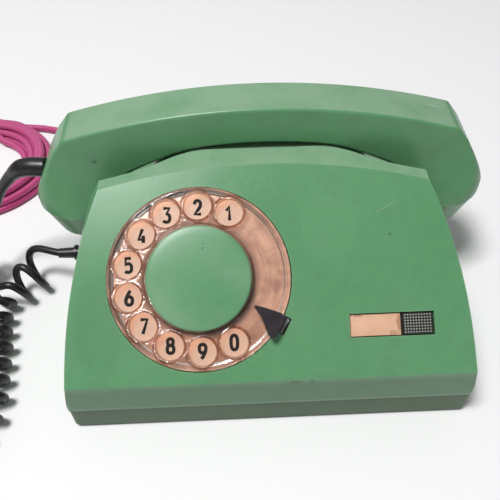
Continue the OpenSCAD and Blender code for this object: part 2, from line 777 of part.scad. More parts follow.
function unit(v) = v / norm(v);
function curve(p, i, t) =
    let (
        a = p[max(i - 1, 0)], b = p[i], c = p[i + 1], d = p[min(i + 2, len(p) - 1)]
    )
    b + 0.5 * t * ((c - a) + t * ((2 * a - 5 * b + 4 * c - d) + t * (3 * b - a - 3 * c + d)));
function smooth_route(p, n) = concat(
    [for (i = [0:len(p) - 2]) for (j = [0:n - 1]) curve(p, i, j / n)],
    [p[len(p) - 1]]
);
function heading(q, i) = unit(q[min(i + 1, len(q) - 1)] - q[max(i - 1, 0)]);
function side_of(q, i, ref) = unit(cross(ref, heading(q, i)));
module swept(route, r, sides, n, ref) {
    q = smooth_route(route, n);
    last = len(q) - 1;
    points = [
        for (i = [0:last])
            let (
                a = side_of(q, i, ref),
                b = cross(heading(q, i), a),
                w = is_list(r) ? r[0] + (r[1] - r[0]) * i / last : r
            )
            for (j = [0:sides - 1]) q[i] + w * (cos(j * 360 / sides) * a + sin(j * 360 / sides) * b)
    ];
    polyhedron(points = points, faces = concat(
        [[for (j = [0:sides - 1]) j]],
        [for (i = [0:last - 1]) for (j = [0:sides - 1])
            let (a = i * sides, b = a + sides, k = (j + 1) % sides) [a + j, b + j, b + k, a + k]],
        [[for (j = [sides - 1:-1:0]) last * sides + j]]
    ), convexity = 6);
}

curly_d = 17;
strand_d = 4.3;
relief_start = [-113.5, handset_y, 79.5];
relief_mid = [-124, 25.6, 79.7];
relief_bend = [-133.5, 26.6, 74];
relief_end = [-143, 27.6, 63];
body_cord_out = [-117.4, 11, 26.5];

module handset_relief() {
    color([0.05, 0.05, 0.05]) {
        translate(relief_start) rotate([0, -90 - 6, 0]) cylinder(h = 4, r = 3.9);
        swept([relief_start + [-2, 0, 0], relief_mid, [-129.5, 26.1, 77.5]], [5.2, 4.5], 12, 5, [0, 1, 0]);
        swept(
            [[-127, 25.9, 78.7], relief_bend, relief_end, [-149, 28, 53]],
            [3.3, 2.7], 12, 6, [0, 1, 0]
        );
    }
}

module handset_lead() {
    color([0.05, 0.05, 0.05]) swept(
        [[-149.3, 28, 52.5], [-153, 28, 44.5], [-157.5, 25, 35.5], [-160, 20.5, 30]],
        strand_d / 2, 10, 6, [0, 1, 0.3]
    );
}

curly_route = [
    [-159.8, 21, 30.5], [-165.2, 14.9, 20.4], [-172.2, 4.1, 12.2], [-178.6, -11.6, 8.7],
    [-183.7, -31.9, 8.7], [-185.8, -54.3, 8.7], [-182.7, -76.6, 8.7], [-173.6, -93.9, 8.7],
    [-159.3, -100, 8.7], [-146.6, -92.9, 8.7], [-142.1, -76.6, 8.7], [-144.3, -57.3, 8.7],
    [-146.7, -40, 8.7], [-150.2, -24.8, 8.7], [-151.1, -9.8, 9.8], [-146.7, 0.9, 11.9],
    [-139.9, 8, 14], [-133, 12.6, 16.1]
];
module curly_cord() {
    color([0.05, 0.05, 0.05]) swept(curly_route, curly_d / 2, 12, 4, [0, 0, 1]);
}

module body_lead() {
    color([0.05, 0.05, 0.05]) swept(
        [body_cord_out + [1, 0, 0], [-122, 11.2, 26.5], [-127, 11.8, 25], [-132.5, 12.6, 21]],
        strand_d / 2, 10, 5, [0, 0, 1]
    );
}

module body_relief() {
    color([0.05, 0.05, 0.05]) translate([0, bush_at[1], bush_at[2]]) rotate([0, -90, 0]) {
        translate([0, 0, 93.4]) cylinder(h = 1.4, r = 5.6);
        translate([0, 0, 94]) cylinder(h = 13, r = 3.9);
        translate([0, 0, 106.6]) cylinder(h = 1.4, r = 4.5);
        translate([0, 0, 107.8]) cylinder(h = 9.6, r1 = 3.2, r2 = 2.8);
    }
}

gland_x = -60;
module line_gland() {
    color([0.06, 0.06, 0.06]) translate([gland_x, 0, bush_at[2]]) rotate([-90, 0, 0]) {
        translate([0, 0, rear - 5.6]) cylinder(h = 1.6, r = 5.6);
        translate([0, 0, rear - 5]) cylinder(h = 6, r = 3.9);
        translate([0, 0, rear + 0.4]) cylinder(h = 1.4, r = 5.6);
        translate([0, 0, rear + 1.6]) cylinder(h = 11, r1 = 4.4, r2 = 3);
    }
}

line_d = 4.9;
coil_mid = [-200.5, 117];
coil_in = 31;
coil_out = 57;
module line_cord() {
    color([0.62, 0.16, 0.4]) swept([
        [gland_x, rear + 12, 26.5], [gland_x - 0.6, rear + 20, 24.2], [-64.4, 120, 14.1],
        [-72.8, 131.9, 6.2], [-93.2, 144.8, 2.9], [-119.7, 152.9, 2.9], [-140, 153.9, 3], [-156, 147.3, 5.5]
    ], line_d / 2, 10, 7, [0, 0, 1]);
}

module line_cord_coil() {
    color([0.62, 0.16, 0.4]) translate([coil_mid[0], coil_mid[1], 0]) rotate_extrude($fn = 64) polygon([
        [coil_in + 2, 1.4], [coil_out - 2, 1.4], [coil_out, 3.6], [coil_out - 1, 8.6], [coil_out - 7, 12.8],
        [coil_in + 7, 12.8], [coil_in + 1, 8.6], [coil_in, 3.6]
    ]);
}

module cord_tie() {
    color([0.05, 0.05, 0.05]) difference() {
        box([31, 7, 15], [coil_mid[0] - 44, coil_mid[1], 0]);
        box([26.6, 9, 12.6], [coil_mid[0] - 44, coil_mid[1], 1.2]);
    }
}

module line_tail() {
    color([0.62, 0.16, 0.4]) swept([
        [-242.5, 148, 5], [-254.5, 157, 3.4], [-264.5, 157, 2.9], [-272.5, 147, 2.9], [-276.5, 133, 3.2]
    ], line_d / 2, 10, 6, [0, 0, 1]);
}

module line_plug() {
    color([0.85, 0.85, 0.82]) {
        box([11.6, 22, 6.6], [-277, 122.5, 0]);
        translate([-277, 114, 6.4]) across(3.2)
            polygon([[-2, 0], [-1, 0.9], [12, 3.6], [12, 2.6], [2, 0]]);
    }
}

// ---------- output ----------

upper_housing();
base_tray();
rubber_feet();
base_screws();
number_plate();
dial_frame();
dial_back_plate();
dial_screws();
finger_stop();
finger_wheel();
wheel_cap();
wheel_nut();
main_shaft();
main_gear();
return_spring();
pulse_gear();
pulse_contacts();
governor_rotor();
governor_cup();
label_tray();
label_card();
recall_button();
button_spring();
button_switch();
handset_shell();
ear_cap();
mouth_cap();
ear_capsule();
mouth_capsule();
hook_plungers();
hook_lever();
lever_pin();
hook_bracket();
hook_contacts();
ringer_frame();
ringer_coils();
left_gong();
right_gong();
gong_posts();
clapper();
circuit_board();
line_transformer();
capacitors();
terminal_block();
handset_relief();
handset_lead();
curly_cord();
body_lead();
body_relief();
line_gland();
line_cord();
line_cord_coil();
cord_tie();
line_tail();
line_plug();
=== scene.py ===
import bpy
import bmesh
from math import ceil, cos, pi, radians, sin, tan
from mathutils import Matrix, Vector


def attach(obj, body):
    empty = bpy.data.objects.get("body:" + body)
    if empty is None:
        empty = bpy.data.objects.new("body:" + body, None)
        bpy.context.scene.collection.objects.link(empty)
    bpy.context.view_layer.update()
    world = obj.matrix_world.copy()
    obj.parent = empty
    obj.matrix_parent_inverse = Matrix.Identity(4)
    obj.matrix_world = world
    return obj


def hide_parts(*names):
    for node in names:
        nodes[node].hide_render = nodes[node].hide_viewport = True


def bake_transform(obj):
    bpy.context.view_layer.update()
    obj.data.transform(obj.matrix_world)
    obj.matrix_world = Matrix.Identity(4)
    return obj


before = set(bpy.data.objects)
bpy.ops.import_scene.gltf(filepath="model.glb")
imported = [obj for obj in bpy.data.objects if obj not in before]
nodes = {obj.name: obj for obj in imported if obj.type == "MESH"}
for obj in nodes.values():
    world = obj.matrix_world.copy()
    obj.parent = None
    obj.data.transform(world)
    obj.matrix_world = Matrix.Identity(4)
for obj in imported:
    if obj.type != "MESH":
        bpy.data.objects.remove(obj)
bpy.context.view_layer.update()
mm = 0.001  # sizes below are in millimetres and become metres here
print("frame loaded:", len(nodes), "nodes")


# camera

cameraSettings = {"place": (-0.01424, -0.2234, 0.2881), "yaw": 1.9, "pitch": -48.5, "roll": -0.7,
                  "lens": 43.2, "sensor": 36, "nearest": 0.01}


def placeCamera(s):
    yaw, pitch, roll = (radians(s[key]) for key in ("yaw", "pitch", "roll"))
    forward = Vector((sin(yaw) * cos(pitch), cos(yaw) * cos(pitch), sin(pitch)))
    level = Vector((cos(yaw), -sin(yaw), 0))
    up = level.cross(forward)
    right = level * cos(roll) + up * sin(roll)
    top = up * cos(roll) - level * sin(roll)
    bpy.ops.object.camera_add(location=s["place"])
    camera = bpy.context.object
    turn = Matrix((right, top, -forward)).transposed()
    camera.matrix_world = Matrix.Translation(s["place"]) @ turn.to_4x4()
    camera.data.lens = s["lens"]
    camera.data.sensor_width = s["sensor"]
    camera.data.clip_start = s["nearest"]
    bpy.context.scene.camera = camera


placeCamera(cameraSettings)
print("camera placed")


# modelling helpers

def shift(x=0, y=0, z=0):
    return Matrix.Translation((x * mm, y * mm, z * mm))


def spun(angle, axis):
    return Matrix.Rotation(radians(angle), 4, axis)


def choose(piece):
    bpy.ops.object.select_all(action="DESELECT")
    piece.select_set(True)
    bpy.context.view_layer.objects.active = piece


def named(name):
    piece = bpy.context.object
    piece.name = name
    piece.data.name = name
    return piece


def edit(piece):
    choose(piece)
    bpy.ops.object.mode_set(mode="EDIT")
    bpy.ops.mesh.select_mode(type="VERT")


def done():
    bpy.ops.object.mode_set(mode="OBJECT")


def tidyMesh(piece, gap=0.01):
    # doubles are merged first, then every face is turned outwards
    edit(piece)
    bpy.ops.mesh.select_all(action="SELECT")
    bpy.ops.mesh.remove_doubles(threshold=gap * mm)
    bpy.ops.mesh.normals_make_consistent(inside=False)
    done()


def applied(piece, kind, **settings):
    modifier = piece.modifiers.new(kind.title(), kind)
    for key, value in settings.items():
        setattr(modifier, key, value)
    choose(piece)
    bpy.ops.object.modifier_apply(modifier=modifier.name)


def cut(piece, cutter, operation="DIFFERENCE"):
    applied(piece, "BOOLEAN", operation=operation, object=cutter, solver="EXACT")
    bpy.data.objects.remove(cutter)


def joined(first, *others):
    choose(first)
    for other in others:
        other.select_set(True)
    bpy.ops.object.join()
    return first


def smooth(piece, angle=40):
    choose(piece)
    bpy.ops.object.shade_smooth_by_angle(angle=radians(angle))


def softEdges(piece, width, segments=3, angle=30):
    # rounds every edge sharper than angle, then evens out the shading of flat faces
    applied(piece, "BEVEL", width=width * mm, segments=segments, limit_method="ANGLE",
            angle_limit=radians(angle), use_clamp_overlap=True)
    smooth(piece)
    applied(piece, "WEIGHTED_NORMAL", keep_sharp=True, weight=80)


def placed(piece, matrix):
    piece.data.transform(matrix)
    return piece


def asMesh(curve, angle=None):
    # a curve made a mesh under its own name
    name = curve.name
    choose(curve)
    bpy.ops.object.convert(target="MESH")
    piece = named(name)
    if angle:
        smooth(piece, angle)
    return piece


def drawnBlock(name, outline, height, place=Matrix()):
    # an outline drawn flat, filled and extruded upwards, then put in its place
    bpy.ops.mesh.primitive_circle_add(vertices=len(outline), radius=mm, fill_type="NGON")
    piece = named(name)
    for point, corner in zip(piece.data.vertices, outline):
        point.co = (corner[0] * mm, corner[1] * mm, 0)
    edit(piece)
    bpy.ops.mesh.select_all(action="SELECT")
    bpy.ops.mesh.extrude_region_move(TRANSFORM_OT_translate={"value": (0, 0, height * mm)})
    done()
    placed(piece, place)
    tidyMesh(piece)
    return piece


def turnedPiece(name, profile, place=Matrix(), steps=96):
    # a profile of (radius, height) points spun once round the Z axis, with no face along that axis
    bpy.ops.mesh.primitive_circle_add(vertices=len(profile), radius=mm, fill_type="NOTHING")
    piece = named(name)
    for point, (radius, height) in zip(piece.data.vertices, profile):
        point.co = (radius * mm, 0, height * mm)
    edit(piece)
    if profile[0][0] == profile[-1][0] == 0:
        shape = bmesh.from_edit_mesh(piece.data)
        shape.verts.ensure_lookup_table()
        first, last = shape.verts[0], shape.verts[len(profile) - 1]
        shape.edges.remove(shape.edges.get((first, last)))
        bmesh.update_edit_mesh(piece.data)
    bpy.ops.mesh.select_all(action="SELECT")
    bpy.ops.mesh.spin(steps=steps, angle=2 * pi, center=(0, 0, 0), axis=(0, 0, 1))
    done()
    placed(piece, place)
    tidyMesh(piece)
    return piece


def drill(piece, place, radius, low, high, steps=40, operation="DIFFERENCE"):
    # a round cutter, or with UNION a round stud, from low to high on its own axis
    drum = turnedPiece("drill", [(0, low), (radius, low), (radius, high), (0, high)], place, steps)
    cut(piece, drum, operation)


def loftedPiece(name, rings):
    # a ring of points extruded again and again, each new ring put on its section
    bpy.ops.mesh.primitive_circle_add(vertices=len(rings[0]), radius=mm, fill_type="NOTHING")
    piece = named(name)
    for point, place in zip(piece.data.vertices, rings[0]):
        point.co = place
    edit(piece)
    bpy.ops.mesh.select_all(action="SELECT")
    shape = bmesh.from_edit_mesh(piece.data)
    order = shape.verts.layers.int.new("order")
    shape.verts.ensure_lookup_table()
    for k, point in enumerate(shape.verts):
        point[order] = k
    bmesh.update_edit_mesh(piece.data)
    for ring in rings[1:]:
        bpy.ops.mesh.extrude_region_move()
        shape = bmesh.from_edit_mesh(piece.data)
        order = shape.verts.layers.int["order"]
        for point in shape.verts:
            if point.select:
                point.co = ring[point[order]]
        bmesh.update_edit_mesh(piece.data)
    done()
    piece.data.attributes.remove(piece.data.attributes["order"])
    tidyMesh(piece)
    return piece


# cords

def smoothRoute(points, steps):
    # Catmull-Rom curve through given points
    route = []
    last = len(points) - 1
    spots = [Vector(p) for p in points]
    for i in range(last):
        a, b, c, d = spots[max(i - 1, 0)], spots[i], spots[i + 1], spots[min(i + 2, last)]
        for k in range(steps):
            t = k / steps
            bend = (2 * a - 5 * b + 4 * c - d) + (3 * b - a - 3 * c + d) * t
            route.append(b + ((c - a) + bend * t) * (0.5 * t))
    return route + [spots[last]]


def lengths(route):
    sums = [0.0]
    for a, b in zip(route, route[1:]):
        sums.append(sums[-1] + (b - a).length)
    return sums


def evenRoute(route, step):
    # the same route with points a fixed step apart
    sums = lengths(route)
    count = max(2, round(sums[-1] / step))
    even, i = [], 0
    for k in range(count + 1):
        want = sums[-1] * k / count
        while i < len(sums) - 2 and sums[i + 1] < want:
            i += 1
        part = (want - sums[i]) / max(sums[i + 1] - sums[i], 1e-9)
        even.append(route[i].lerp(route[i + 1], part))
    return even


def cordCurve(name, route, diameter, tapers=None):
    data = bpy.data.curves.new(name, "CURVE")
    data.dimensions = "3D"
    data.bevel_depth = diameter / 2
    data.bevel_resolution = 3
    data.use_fill_caps = True
    spline = data.splines.new("POLY")
    spline.points.add(len(route) - 1)
    for i, place in enumerate(route):
        spline.points[i].co = (*place, 1)
        if tapers:
            spline.points[i].radius = tapers[i]
    piece = bpy.data.objects.new(name, data)
    bpy.context.collection.objects.link(piece)
    return piece


curlyCord = {
    "strand": 0.0043,  # diameter, metres
    "length": 1.5,  # metres; the sizes below are in millimetres
    "coilRadius": 6.35,  # from the coil's own axis to the middle of the strand
    "firstRadius": 7.5, "settlesOver": 15,  # the first turns tighten over this much of the axis
    "openPitch": 10.2,  # turns pulled apart in front of the body
    "closePitch": 5.6,
    "openTo": (95, 125),  # along the axis
    "endsBefore": 13,  # the turns end this far before the end of the lead
    "straightensOver": 24, "pitchOpensBy": 70,
    "axisSteps": 24, "axisStep": 0.4, "strandStep": 1.6,
    "loopSteps": 8, "joinAt": (0, 6),  # points of the first turn that the loops run into
    "eases": 12, "coilEases": 2, "loosePoints": 76,
    "lowest": 2.35,
    # out of the body: a straight piece, two loose loops, then up to the first turn
    "loops": [(-116.4, 11, 26.5), (-121, 12, 26.8), (-126.5, 14, 27), (-131.5, 15.8, 26.8),
              (-135.8, 15.9, 25), (-138.3, 15.2, 18.8), (-137.5, 12.7, 11.9), (-134.2, 8.7, 5.6),
              (-130.5, 5.4, 2.7), (-128.3, 3.7, 3.8), (-128.1, 1.3, 9.4), (-130.7, 0.9, 16.3),
              (-134.7, 2.6, 22), (-139, 4.8, 24.5), (-142.5, 5.4, 22), (-144.5, 4.8, 15),
              (-143.1, 1.8, 7.5), (-139.4, -2.2, 3.1), (-136.7, -4.2, 3.3), (-136.1, -6.4, 8.1),
              (-138.8, -7.7, 16.3), (-143.3, -7.5, 21.5)],
    # the coil's own axis, from the loops round to the handset
    "axis": [(-149.3, -4.1, 11.6), (-151.1, -9.8, 9.8), (-150.2, -24.8, 8.7), (-146.7, -40, 8.7),
             (-144.3, -57.3, 8.7), (-142.1, -76.6, 8.7), (-146.6, -92.9, 8.7), (-159.3, -100, 8.7),
             (-173.6, -93.9, 8.7), (-182.7, -76.6, 8.7), (-185.8, -54.3, 8.7), (-183.7, -31.9, 8.7),
             (-178.6, -11.6, 8.7), (-171.9, 3.8, 12.6), (-164.4, 13.7, 21.7), (-159.8, 21, 30.5)],
    "lead": [(-157.5, 25, 35.5), (-153, 28, 44.5), (-150.2, 28.1, 50.1), (-148.6, 28, 54.1)],
}


def coilAround(axis, s):
    # turns round the axis, starting at its top and straightening into the lead
    sums = lengths(axis)
    ends = sums[-1] - s["endsBefore"]
    low, high = s["openTo"]
    side, turn, strand = Vector((0, 0, 1)), 0.0, []
    for i, middle in enumerate(axis):
        at = sums[i]
        ahead = (axis[min(i + 1, len(axis) - 1)] - axis[max(i - 1, 0)]).normalized()
        side = (side - ahead * side.dot(ahead)).normalized()  # carried along without twist
        third = ahead.cross(side)
        close = min(1, max(0, (at - low) / (high - low)))
        pitch = s["openPitch"] + close * (s["closePitch"] - s["openPitch"])
        settle = min(1, at / s["settlesOver"])
        radius = s["firstRadius"] + settle * (s["coilRadius"] - s["firstRadius"])
        straight = min(1, max(0, (ends - at) / s["straightensOver"]))
        radius *= straight * straight * (3 - 2 * straight)
        pitch += s["pitchOpensBy"] * (1 - straight)
        if 0 < at < ends:
            turn += 2 * pi * (at - sums[i - 1]) / pitch
        strand.append(middle + (side * cos(turn) + third * sin(turn)) * radius)
    return strand, turn / (2 * pi)


def makeCurlyCord(s):
    axis = evenRoute(smoothRoute(s["axis"] + s["lead"], s["axisSteps"]), s["axisStep"])
    turned, turns = coilAround(axis, s)
    # the stretch between the two joining points only sets the direction, and is dropped
    loose = smoothRoute(s["loops"] + [tuple(turned[k]) for k in s["joinAt"]], s["loopSteps"])
    strand = evenRoute(loose[:-s["loopSteps"]] + turned[1:], s["strandStep"])
    for repeat in range(s["eases"]):
        # the loose loops are eased more often than the coil
        until = len(strand) if repeat < s["coilEases"] else s["loosePoints"]
        strand[1:until - 1] = [(a + 2 * b + c) / 4 for a, b, c in zip(strand, strand[1:], strand[2:until])]
    for place in strand:
        place.z = max(place.z, s["lowest"])
    strand = [place * mm for place in reversed(strand)]
    cord = asMesh(cordCurve("curly_cord_strand", strand, s["strand"]), 60)
    print("curly cord:", round(lengths(strand)[-1], 3), "m,", round(turns, 1), "turns")
    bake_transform(cord)
    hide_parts("handset_lead", "curly_cord", "body_lead")
    return cord


lineCord = {
    "diameter": 0.0049,
    "length": 3.3,
    "out": [(-0.0600, 0.0975, 0.0265), (-0.0606, 0.1060, 0.0242), (-0.0644, 0.1200, 0.0141),
            (-0.0728, 0.1319, 0.0062), (-0.0932, 0.1448, 0.0026), (-0.1197, 0.1529, 0.0026),
            (-0.1410, 0.1575, 0.0026), (-0.1620, 0.1635, 0.0026)],
    "outSteps": 8,
    "middle": (-0.2005, 0.117), "start": 74,
    # each layer of the hank: first and last radius, turns, height, in millimetres
    "layers": [(54.2, 33.4, 5, 2.6), (36.0, 51.6, 4, 7.1), (48.5, 43.5, 2.08, 11.5)],
    "perTurn": 40,
    "oval": (0.035, 0.6), "wobble": (0.012, 0.12),  # how much, and where it sits on the turn
    "trim": 3,  # points left out at both ends of the hank, where it meets the other stretches
    "eases": 6, "coarse": 0.006, "fineSteps": 3, "fine": 0.003, "lowest": 0.0026,
    "tail": [(-0.2260, 0.1612, 0.0118), (-0.2400, 0.1605, 0.0088), (-0.2545, 0.1570, 0.0042),
             (-0.2650, 0.1510, 0.0027), (-0.2725, 0.1430, 0.0028), (-0.2765, 0.1340, 0.0032)],
}


def makeLineCord(s):
    mx, my = s["middle"]
    (oval, ovalAt), (wobble, wobbleAt) = s["oval"], s["wobble"]
    hank, angle = [], radians(s["start"])
    for inner, outer, turns, height in s["layers"]:
        steps = ceil(turns * s["perTurn"])
        for k in range(steps):
            part = k / steps
            radius = inner + (outer - inner) * part
            here = angle + 2 * pi * turns * part
            radius *= 1 + oval * cos(2 * here + ovalAt) + wobble * cos(3 * here + radius * wobbleAt)
            hank.append(Vector((mx + radius * mm * cos(here), my + radius * mm * sin(here), height * mm)))
        angle += 2 * pi * turns
    # the steps up from layer to layer are eased over a few points
    for repeat in range(s["eases"]):
        heights = [place.z for place in hank]
        for k in range(1, len(hank) - 1):
            hank[k].z = (heights[k - 1] + 2 * heights[k] + heights[k + 1]) / 4
    route = smoothRoute(s["out"], s["outSteps"]) + hank[s["trim"]:-s["trim"]] + [Vector(p) for p in s["tail"]]
    route = evenRoute(smoothRoute(evenRoute(route, s["coarse"]), s["fineSteps"]), s["fine"])
    for place in route:
        place.z = max(place.z, s["lowest"])
    cord = asMesh(cordCurve("line_cord_strand", route, s["diameter"]), 60)
    print("line cord:", round(lengths(route)[-1], 3), "m")
    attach(cord, "housing")
    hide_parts("line_cord", "line_cord_coil", "line_tail")
    return cord


curly = makeCurlyCord(curlyCord)
lineStrand = makeLineCord(lineCord)
print("cords laid")

# body

panelPlace = {"edge": (0, -0.086, 0.039), "slope": 35.6, "dial": (-0.0325, 0.0499, 0)}
onPanel = Matrix.Translation(panelPlace["edge"]) @ spun(panelPlace["slope"], "X")
onDial = onPanel @ Matrix.Translation(panelPlace["dial"])


def throughPiece(name, outline, near, far):
    # an outline of (x, z) points carried from near to far along Y
    return drawnBlock(name, outline, far - near, shift(y=far) @ spun(90, "X"))


def acrossPiece(name, outline, width):
    # an outline of (y, z) points carried across X
    return drawnBlock(name, outline, width, shift(-width / 2) @ spun(90, "Z") @ spun(90, "X"))


def smoothLine(points, steps=4):
    return [(p.x, p.y) for p in smoothRoute([(x, y, 0) for x, y in points], steps)]


def bothSides(half):
    return half + [(-x, z) for x, z in reversed(half)]


def softOutline(width, depth, radius, steps=8):
    # a rounded rectangle
    corner = [(cos(pi / 2 * k / steps), sin(pi / 2 * k / steps)) for k in range(steps + 1)]
    a, b = width / 2 - radius, depth / 2 - radius
    first = [(a + radius * x, b + radius * y) for x, y in corner]
    second = [(-a - radius * y, b + radius * x) for x, y in corner]
    return first + second + [(-x, -y) for x, y in first + second]


def arcRound(corner, before, after, radius, steps=4):
    # points of an arc that rounds one corner of an outline
    p = Vector(corner)
    back, on = (Vector(before) - p).normalized(), (Vector(after) - p).normalized()
    half = back.angle(on) / 2
    reach = radius / tan(half)
    middle = p + (back + on).normalized() * (radius / sin(half))
    start, stop = p + back * reach - middle, p + on * reach - middle
    whole = start.angle(stop)
    arc = []
    for k in range(steps + 1):
        out = start * sin(whole * (1 - k / steps)) + stop * sin(whole * k / steps)
        arc.append(tuple(middle + out / sin(whole)))
    return arc


housingShape = {
    "seam": 17.2, "lip": 39.0, "corner": 93.5, "crown": 6.0, "wall": 2.8, "edge": 1.7,
    "halfSeam": 100.1, "halfLip": 96.0, "halfTop": 79.7, "taper": 2.2,
    "depth": 171.2, "setBack": 0.4, "tall": 120, "lipRadius": 3.0, "cornerRadius": 2.8,
    "below": 14,  # how far the walls are drawn on under the seam
    "frontFoot": -84.7, "frontSeam": -85.2, "frontLip": -86, "panelEnd": (-4, 97.7), "back": 86,
    "crest": [(-1.52, 99.5), (3, 100.1), (8, 100.3), (11.4, 98.9)],
    "archEnd": 12.2,
    "pedestal": [(57, 37.5), (56.5, 64.5), (56, 81.5), (54.8, 86.5), (52, 90.1), (47, 92.9), (41, 95.3),
                 (36, 96.9), (30, 97.7), (22, 98.5)],
    "ridge": [(-1, 11.4), (20, 11.4), (30, 10.9), (40, 9.4), (45.5, 7.3), (51, 4.6), (56, 2.4), (63, 0.2),
              (71, -1.6), (80, -3)],
    "rear": [(13, 97.5), (36, 97.5), (38.5, 98.3), (41, 100.1), (45, 99.9), (49, 97.5), (78, 62.5),
             (83, 54.5), (86, 44.5)],
    # openings: the dial's radius, the window's left, right, bottom and top, and the finger stop's notch
    "opening": 43.8, "window": (37.4, 77.5, 19.4, 30.5),
    "notchAngle": -121, "notchRadius": 44.8, "notch": (8.6, 5.4, 0.6),
    "plungers": (40, 25, 4.4),
    "cordHole": 4.3, "sideExit": (-104.6, 11, 26.5), "rearExit": (-60, 78, 26.5),
}


def halfWidth(z, s):
    if z < s["lip"]:
        return s["halfLip"] + (s["halfSeam"] - s["halfLip"]) * (s["lip"] - z) / (s["lip"] - s["seam"])
    up = (z - s["lip"]) / (s["corner"] - s["lip"])
    return s["halfLip"] - (s["halfLip"] - s["halfTop"]) * up ** s["taper"]


def inset(outline, gap):
    # a closed outline moved inwards by a gap, whichever way round it runs
    points = [Vector(p) for p in outline]
    area = sum(a.x * b.y - b.x * a.y for a, b in zip(points, points[1:] + points[:1]))
    turn = 1 if area > 0 else -1
    moved = []
    for k, p in enumerate(points):
        into, on = (p - points[k - 1]).normalized(), (points[(k + 1) % len(points)] - p).normalized()
        first, second = Vector((-into.y, into.x)) * turn, Vector((-on.y, on.x)) * turn
        moved.append(tuple(p + (first + second) * (gap / (1 + first.dot(second)))))
    return moved


def bodyBlock(name, s, gap, low):
    # the body as one solid, its walls set in by a gap; cutters run on well past it
    outline = softOutline(2 * (s["halfSeam"] - gap), s["depth"] - 2 * gap, s["cornerRadius"])
    body = drawnBlock(name, [(x, y + s["setBack"]) for x, y in outline], s["tall"], shift(z=low))
    bottom = s["seam"] - s["below"]
    heights = [bottom] + [s["lip"] + 2.6 * k for k in range(25)]
    sides = bothSides([(halfWidth(z, s) - gap, z) for z in heights])
    cut(body, throughPiece("sides", sides, -90, 90), "INTERSECT")
    lip = arcRound((s["frontLip"], s["lip"]), (s["frontSeam"], s["seam"]), s["panelEnd"], s["lipRadius"], 5)
    profile = [(s["frontFoot"], bottom)] + lip + s["crest"] + s["rear"] + [(s["back"], bottom)]
    cut(body, acrossPiece("profile", inset(profile, gap) if gap else profile, 240), "INTERSECT")
    arch = [(u * (s["halfTop"] - gap), s["corner"] - gap + s["crown"] * (1 - u * u))
            for u in [k / 16 - 1 for k in range(33)]]
    wide, level = s["halfTop"] + 30, s["corner"] - gap - 0.01
    above = [(wide, level), (wide, 140), (-wide, 140), (-wide, level)] + arch
    cut(body, throughPiece("aboveArch", above, -96, s["archEnd"]))
    for side in (1, -1):
        pedestal = [(x - gap, z - gap) for x, z in smoothLine(s["pedestal"])]
        hollow = [(130, s["pedestal"][0][1] - gap)] + pedestal + [(-1, 100.1 - gap), (-1, 130), (130, 130)]
        bay = throughPiece("bay", [(x * side, z) for x, z in hollow], -20, 100)
        ridge = [(x, y - gap) for x, y in smoothLine(s["ridge"], 3)]
        behind = ridge + [(140, -4 - gap), (140, 110), (-1, 110)]
        cut(bay, drawnBlock("behind", [(x * side, y) for x, y in behind], 130), "INTERSECT")
        cut(body, bay)
    return body


def makeHousing(s):
    body = bodyBlock("housing_cover", s, 0, s["seam"])
    softEdges(body, s["edge"], 3, 30)
    cut(body, bodyBlock("hollow", s, s["wall"], s["seam"] - 5))
    print("cover walls made:", len(body.data.polygons))
    drill(body, onDial, s["opening"], -14, 16, 128)
    x0, x1, s0, s1 = s["window"]
    cut(body, drawnBlock("hole", [(x0, s0), (x1, s0), (x1, s1), (x0, s1)], 12, onPanel @ shift(z=-6)))
    notch = onDial @ spun(s["notchAngle"], "Z") @ shift(y=s["notchRadius"], z=-12)
    cut(body, drawnBlock("hole", softOutline(*s["notch"]), 20, notch))
    x, y, radius = s["plungers"]
    for side in (1, -1):
        drill(body, shift(side * x, y), radius, 60, 110)
    drill(body, shift(*s["sideExit"]) @ spun(90, "Y"), s["cordHole"], 0, 14)
    drill(body, shift(*s["rearExit"]) @ spun(-90, "X"), s["cordHole"], 0, 14)
    softEdges(body, 0.35, 2, 60)
    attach(body, "housing")
    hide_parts("upper_housing")
    return body


cover = makeHousing(housingShape)
print("cover made:", len(cover.data.polygons))

# handset

handsetShape = {
    "back": [(x, 120 - 14.7 * (x / 98) ** 2) for x in (0, 10, 20, 30, 40, 50, 60, 70, 79, 87, 93)]
            + [(95.8, 106), (98.3, 105), (100.1, 102.9), (102.2, 100.3), (104.5, 97.5), (107.4, 92.8),
               (110, 88.5), (112.2, 84.6), (113.9, 81.5), (115.6, 78.2), (117.1, 75), (118.5, 72),
               (119.6, 68.9), (120.4, 66.3), (121.2, 63.5)],
    "inside": [(0, 100.9), (9, 100.75), (18, 100.25), (27, 99.45), (35.5, 98.1), (43, 96.15), (49, 93.75),
               (54.5, 91.3), (59, 89.4), (62, 88), (64, 87.1), (65.4, 86.3), (66.4, 85.6), (67.2, 84.9),
               (68, 84.1), (68.6, 83.4), (69.2, 82.5), (69.8, 81.7), (70.3, 80.9), (70.9, 79.4),
               (71.4, 77.8), (71.9, 75.4), (72.3, 73.4), (72.8, 70.8), (73.1, 67.2), (73.4, 63.5)],
    # corner radius and widening of the cups, both by height
    "corner": [(63.5, 23.9), (65.5, 20.5), (68.5, 16.5), (72.5, 12), (76.5, 8.4), (80.5, 5.6), (84.5, 3.6),
               (90.5, 2.2), (96.5, 1.6)],
    "flare": [(63.5, 12.2), (74.5, 7.8), (84.5, 4.6), (92.5, 2.4), (99.5, 1.2), (105.3, 0.8), (109.5, 0.5),
              (114.5, 0.2), (120.5, 0)],
    "halfDepth": 11.7, "y": 25.0, "wall": 2.5, "steps": 5,
    "fullest": 0.98,  # share of a side that its rounded corners may take up
    "leadHole": (-112, 25, 79.5), "leadTilt": -104, "leadRadius": 4.2,
}


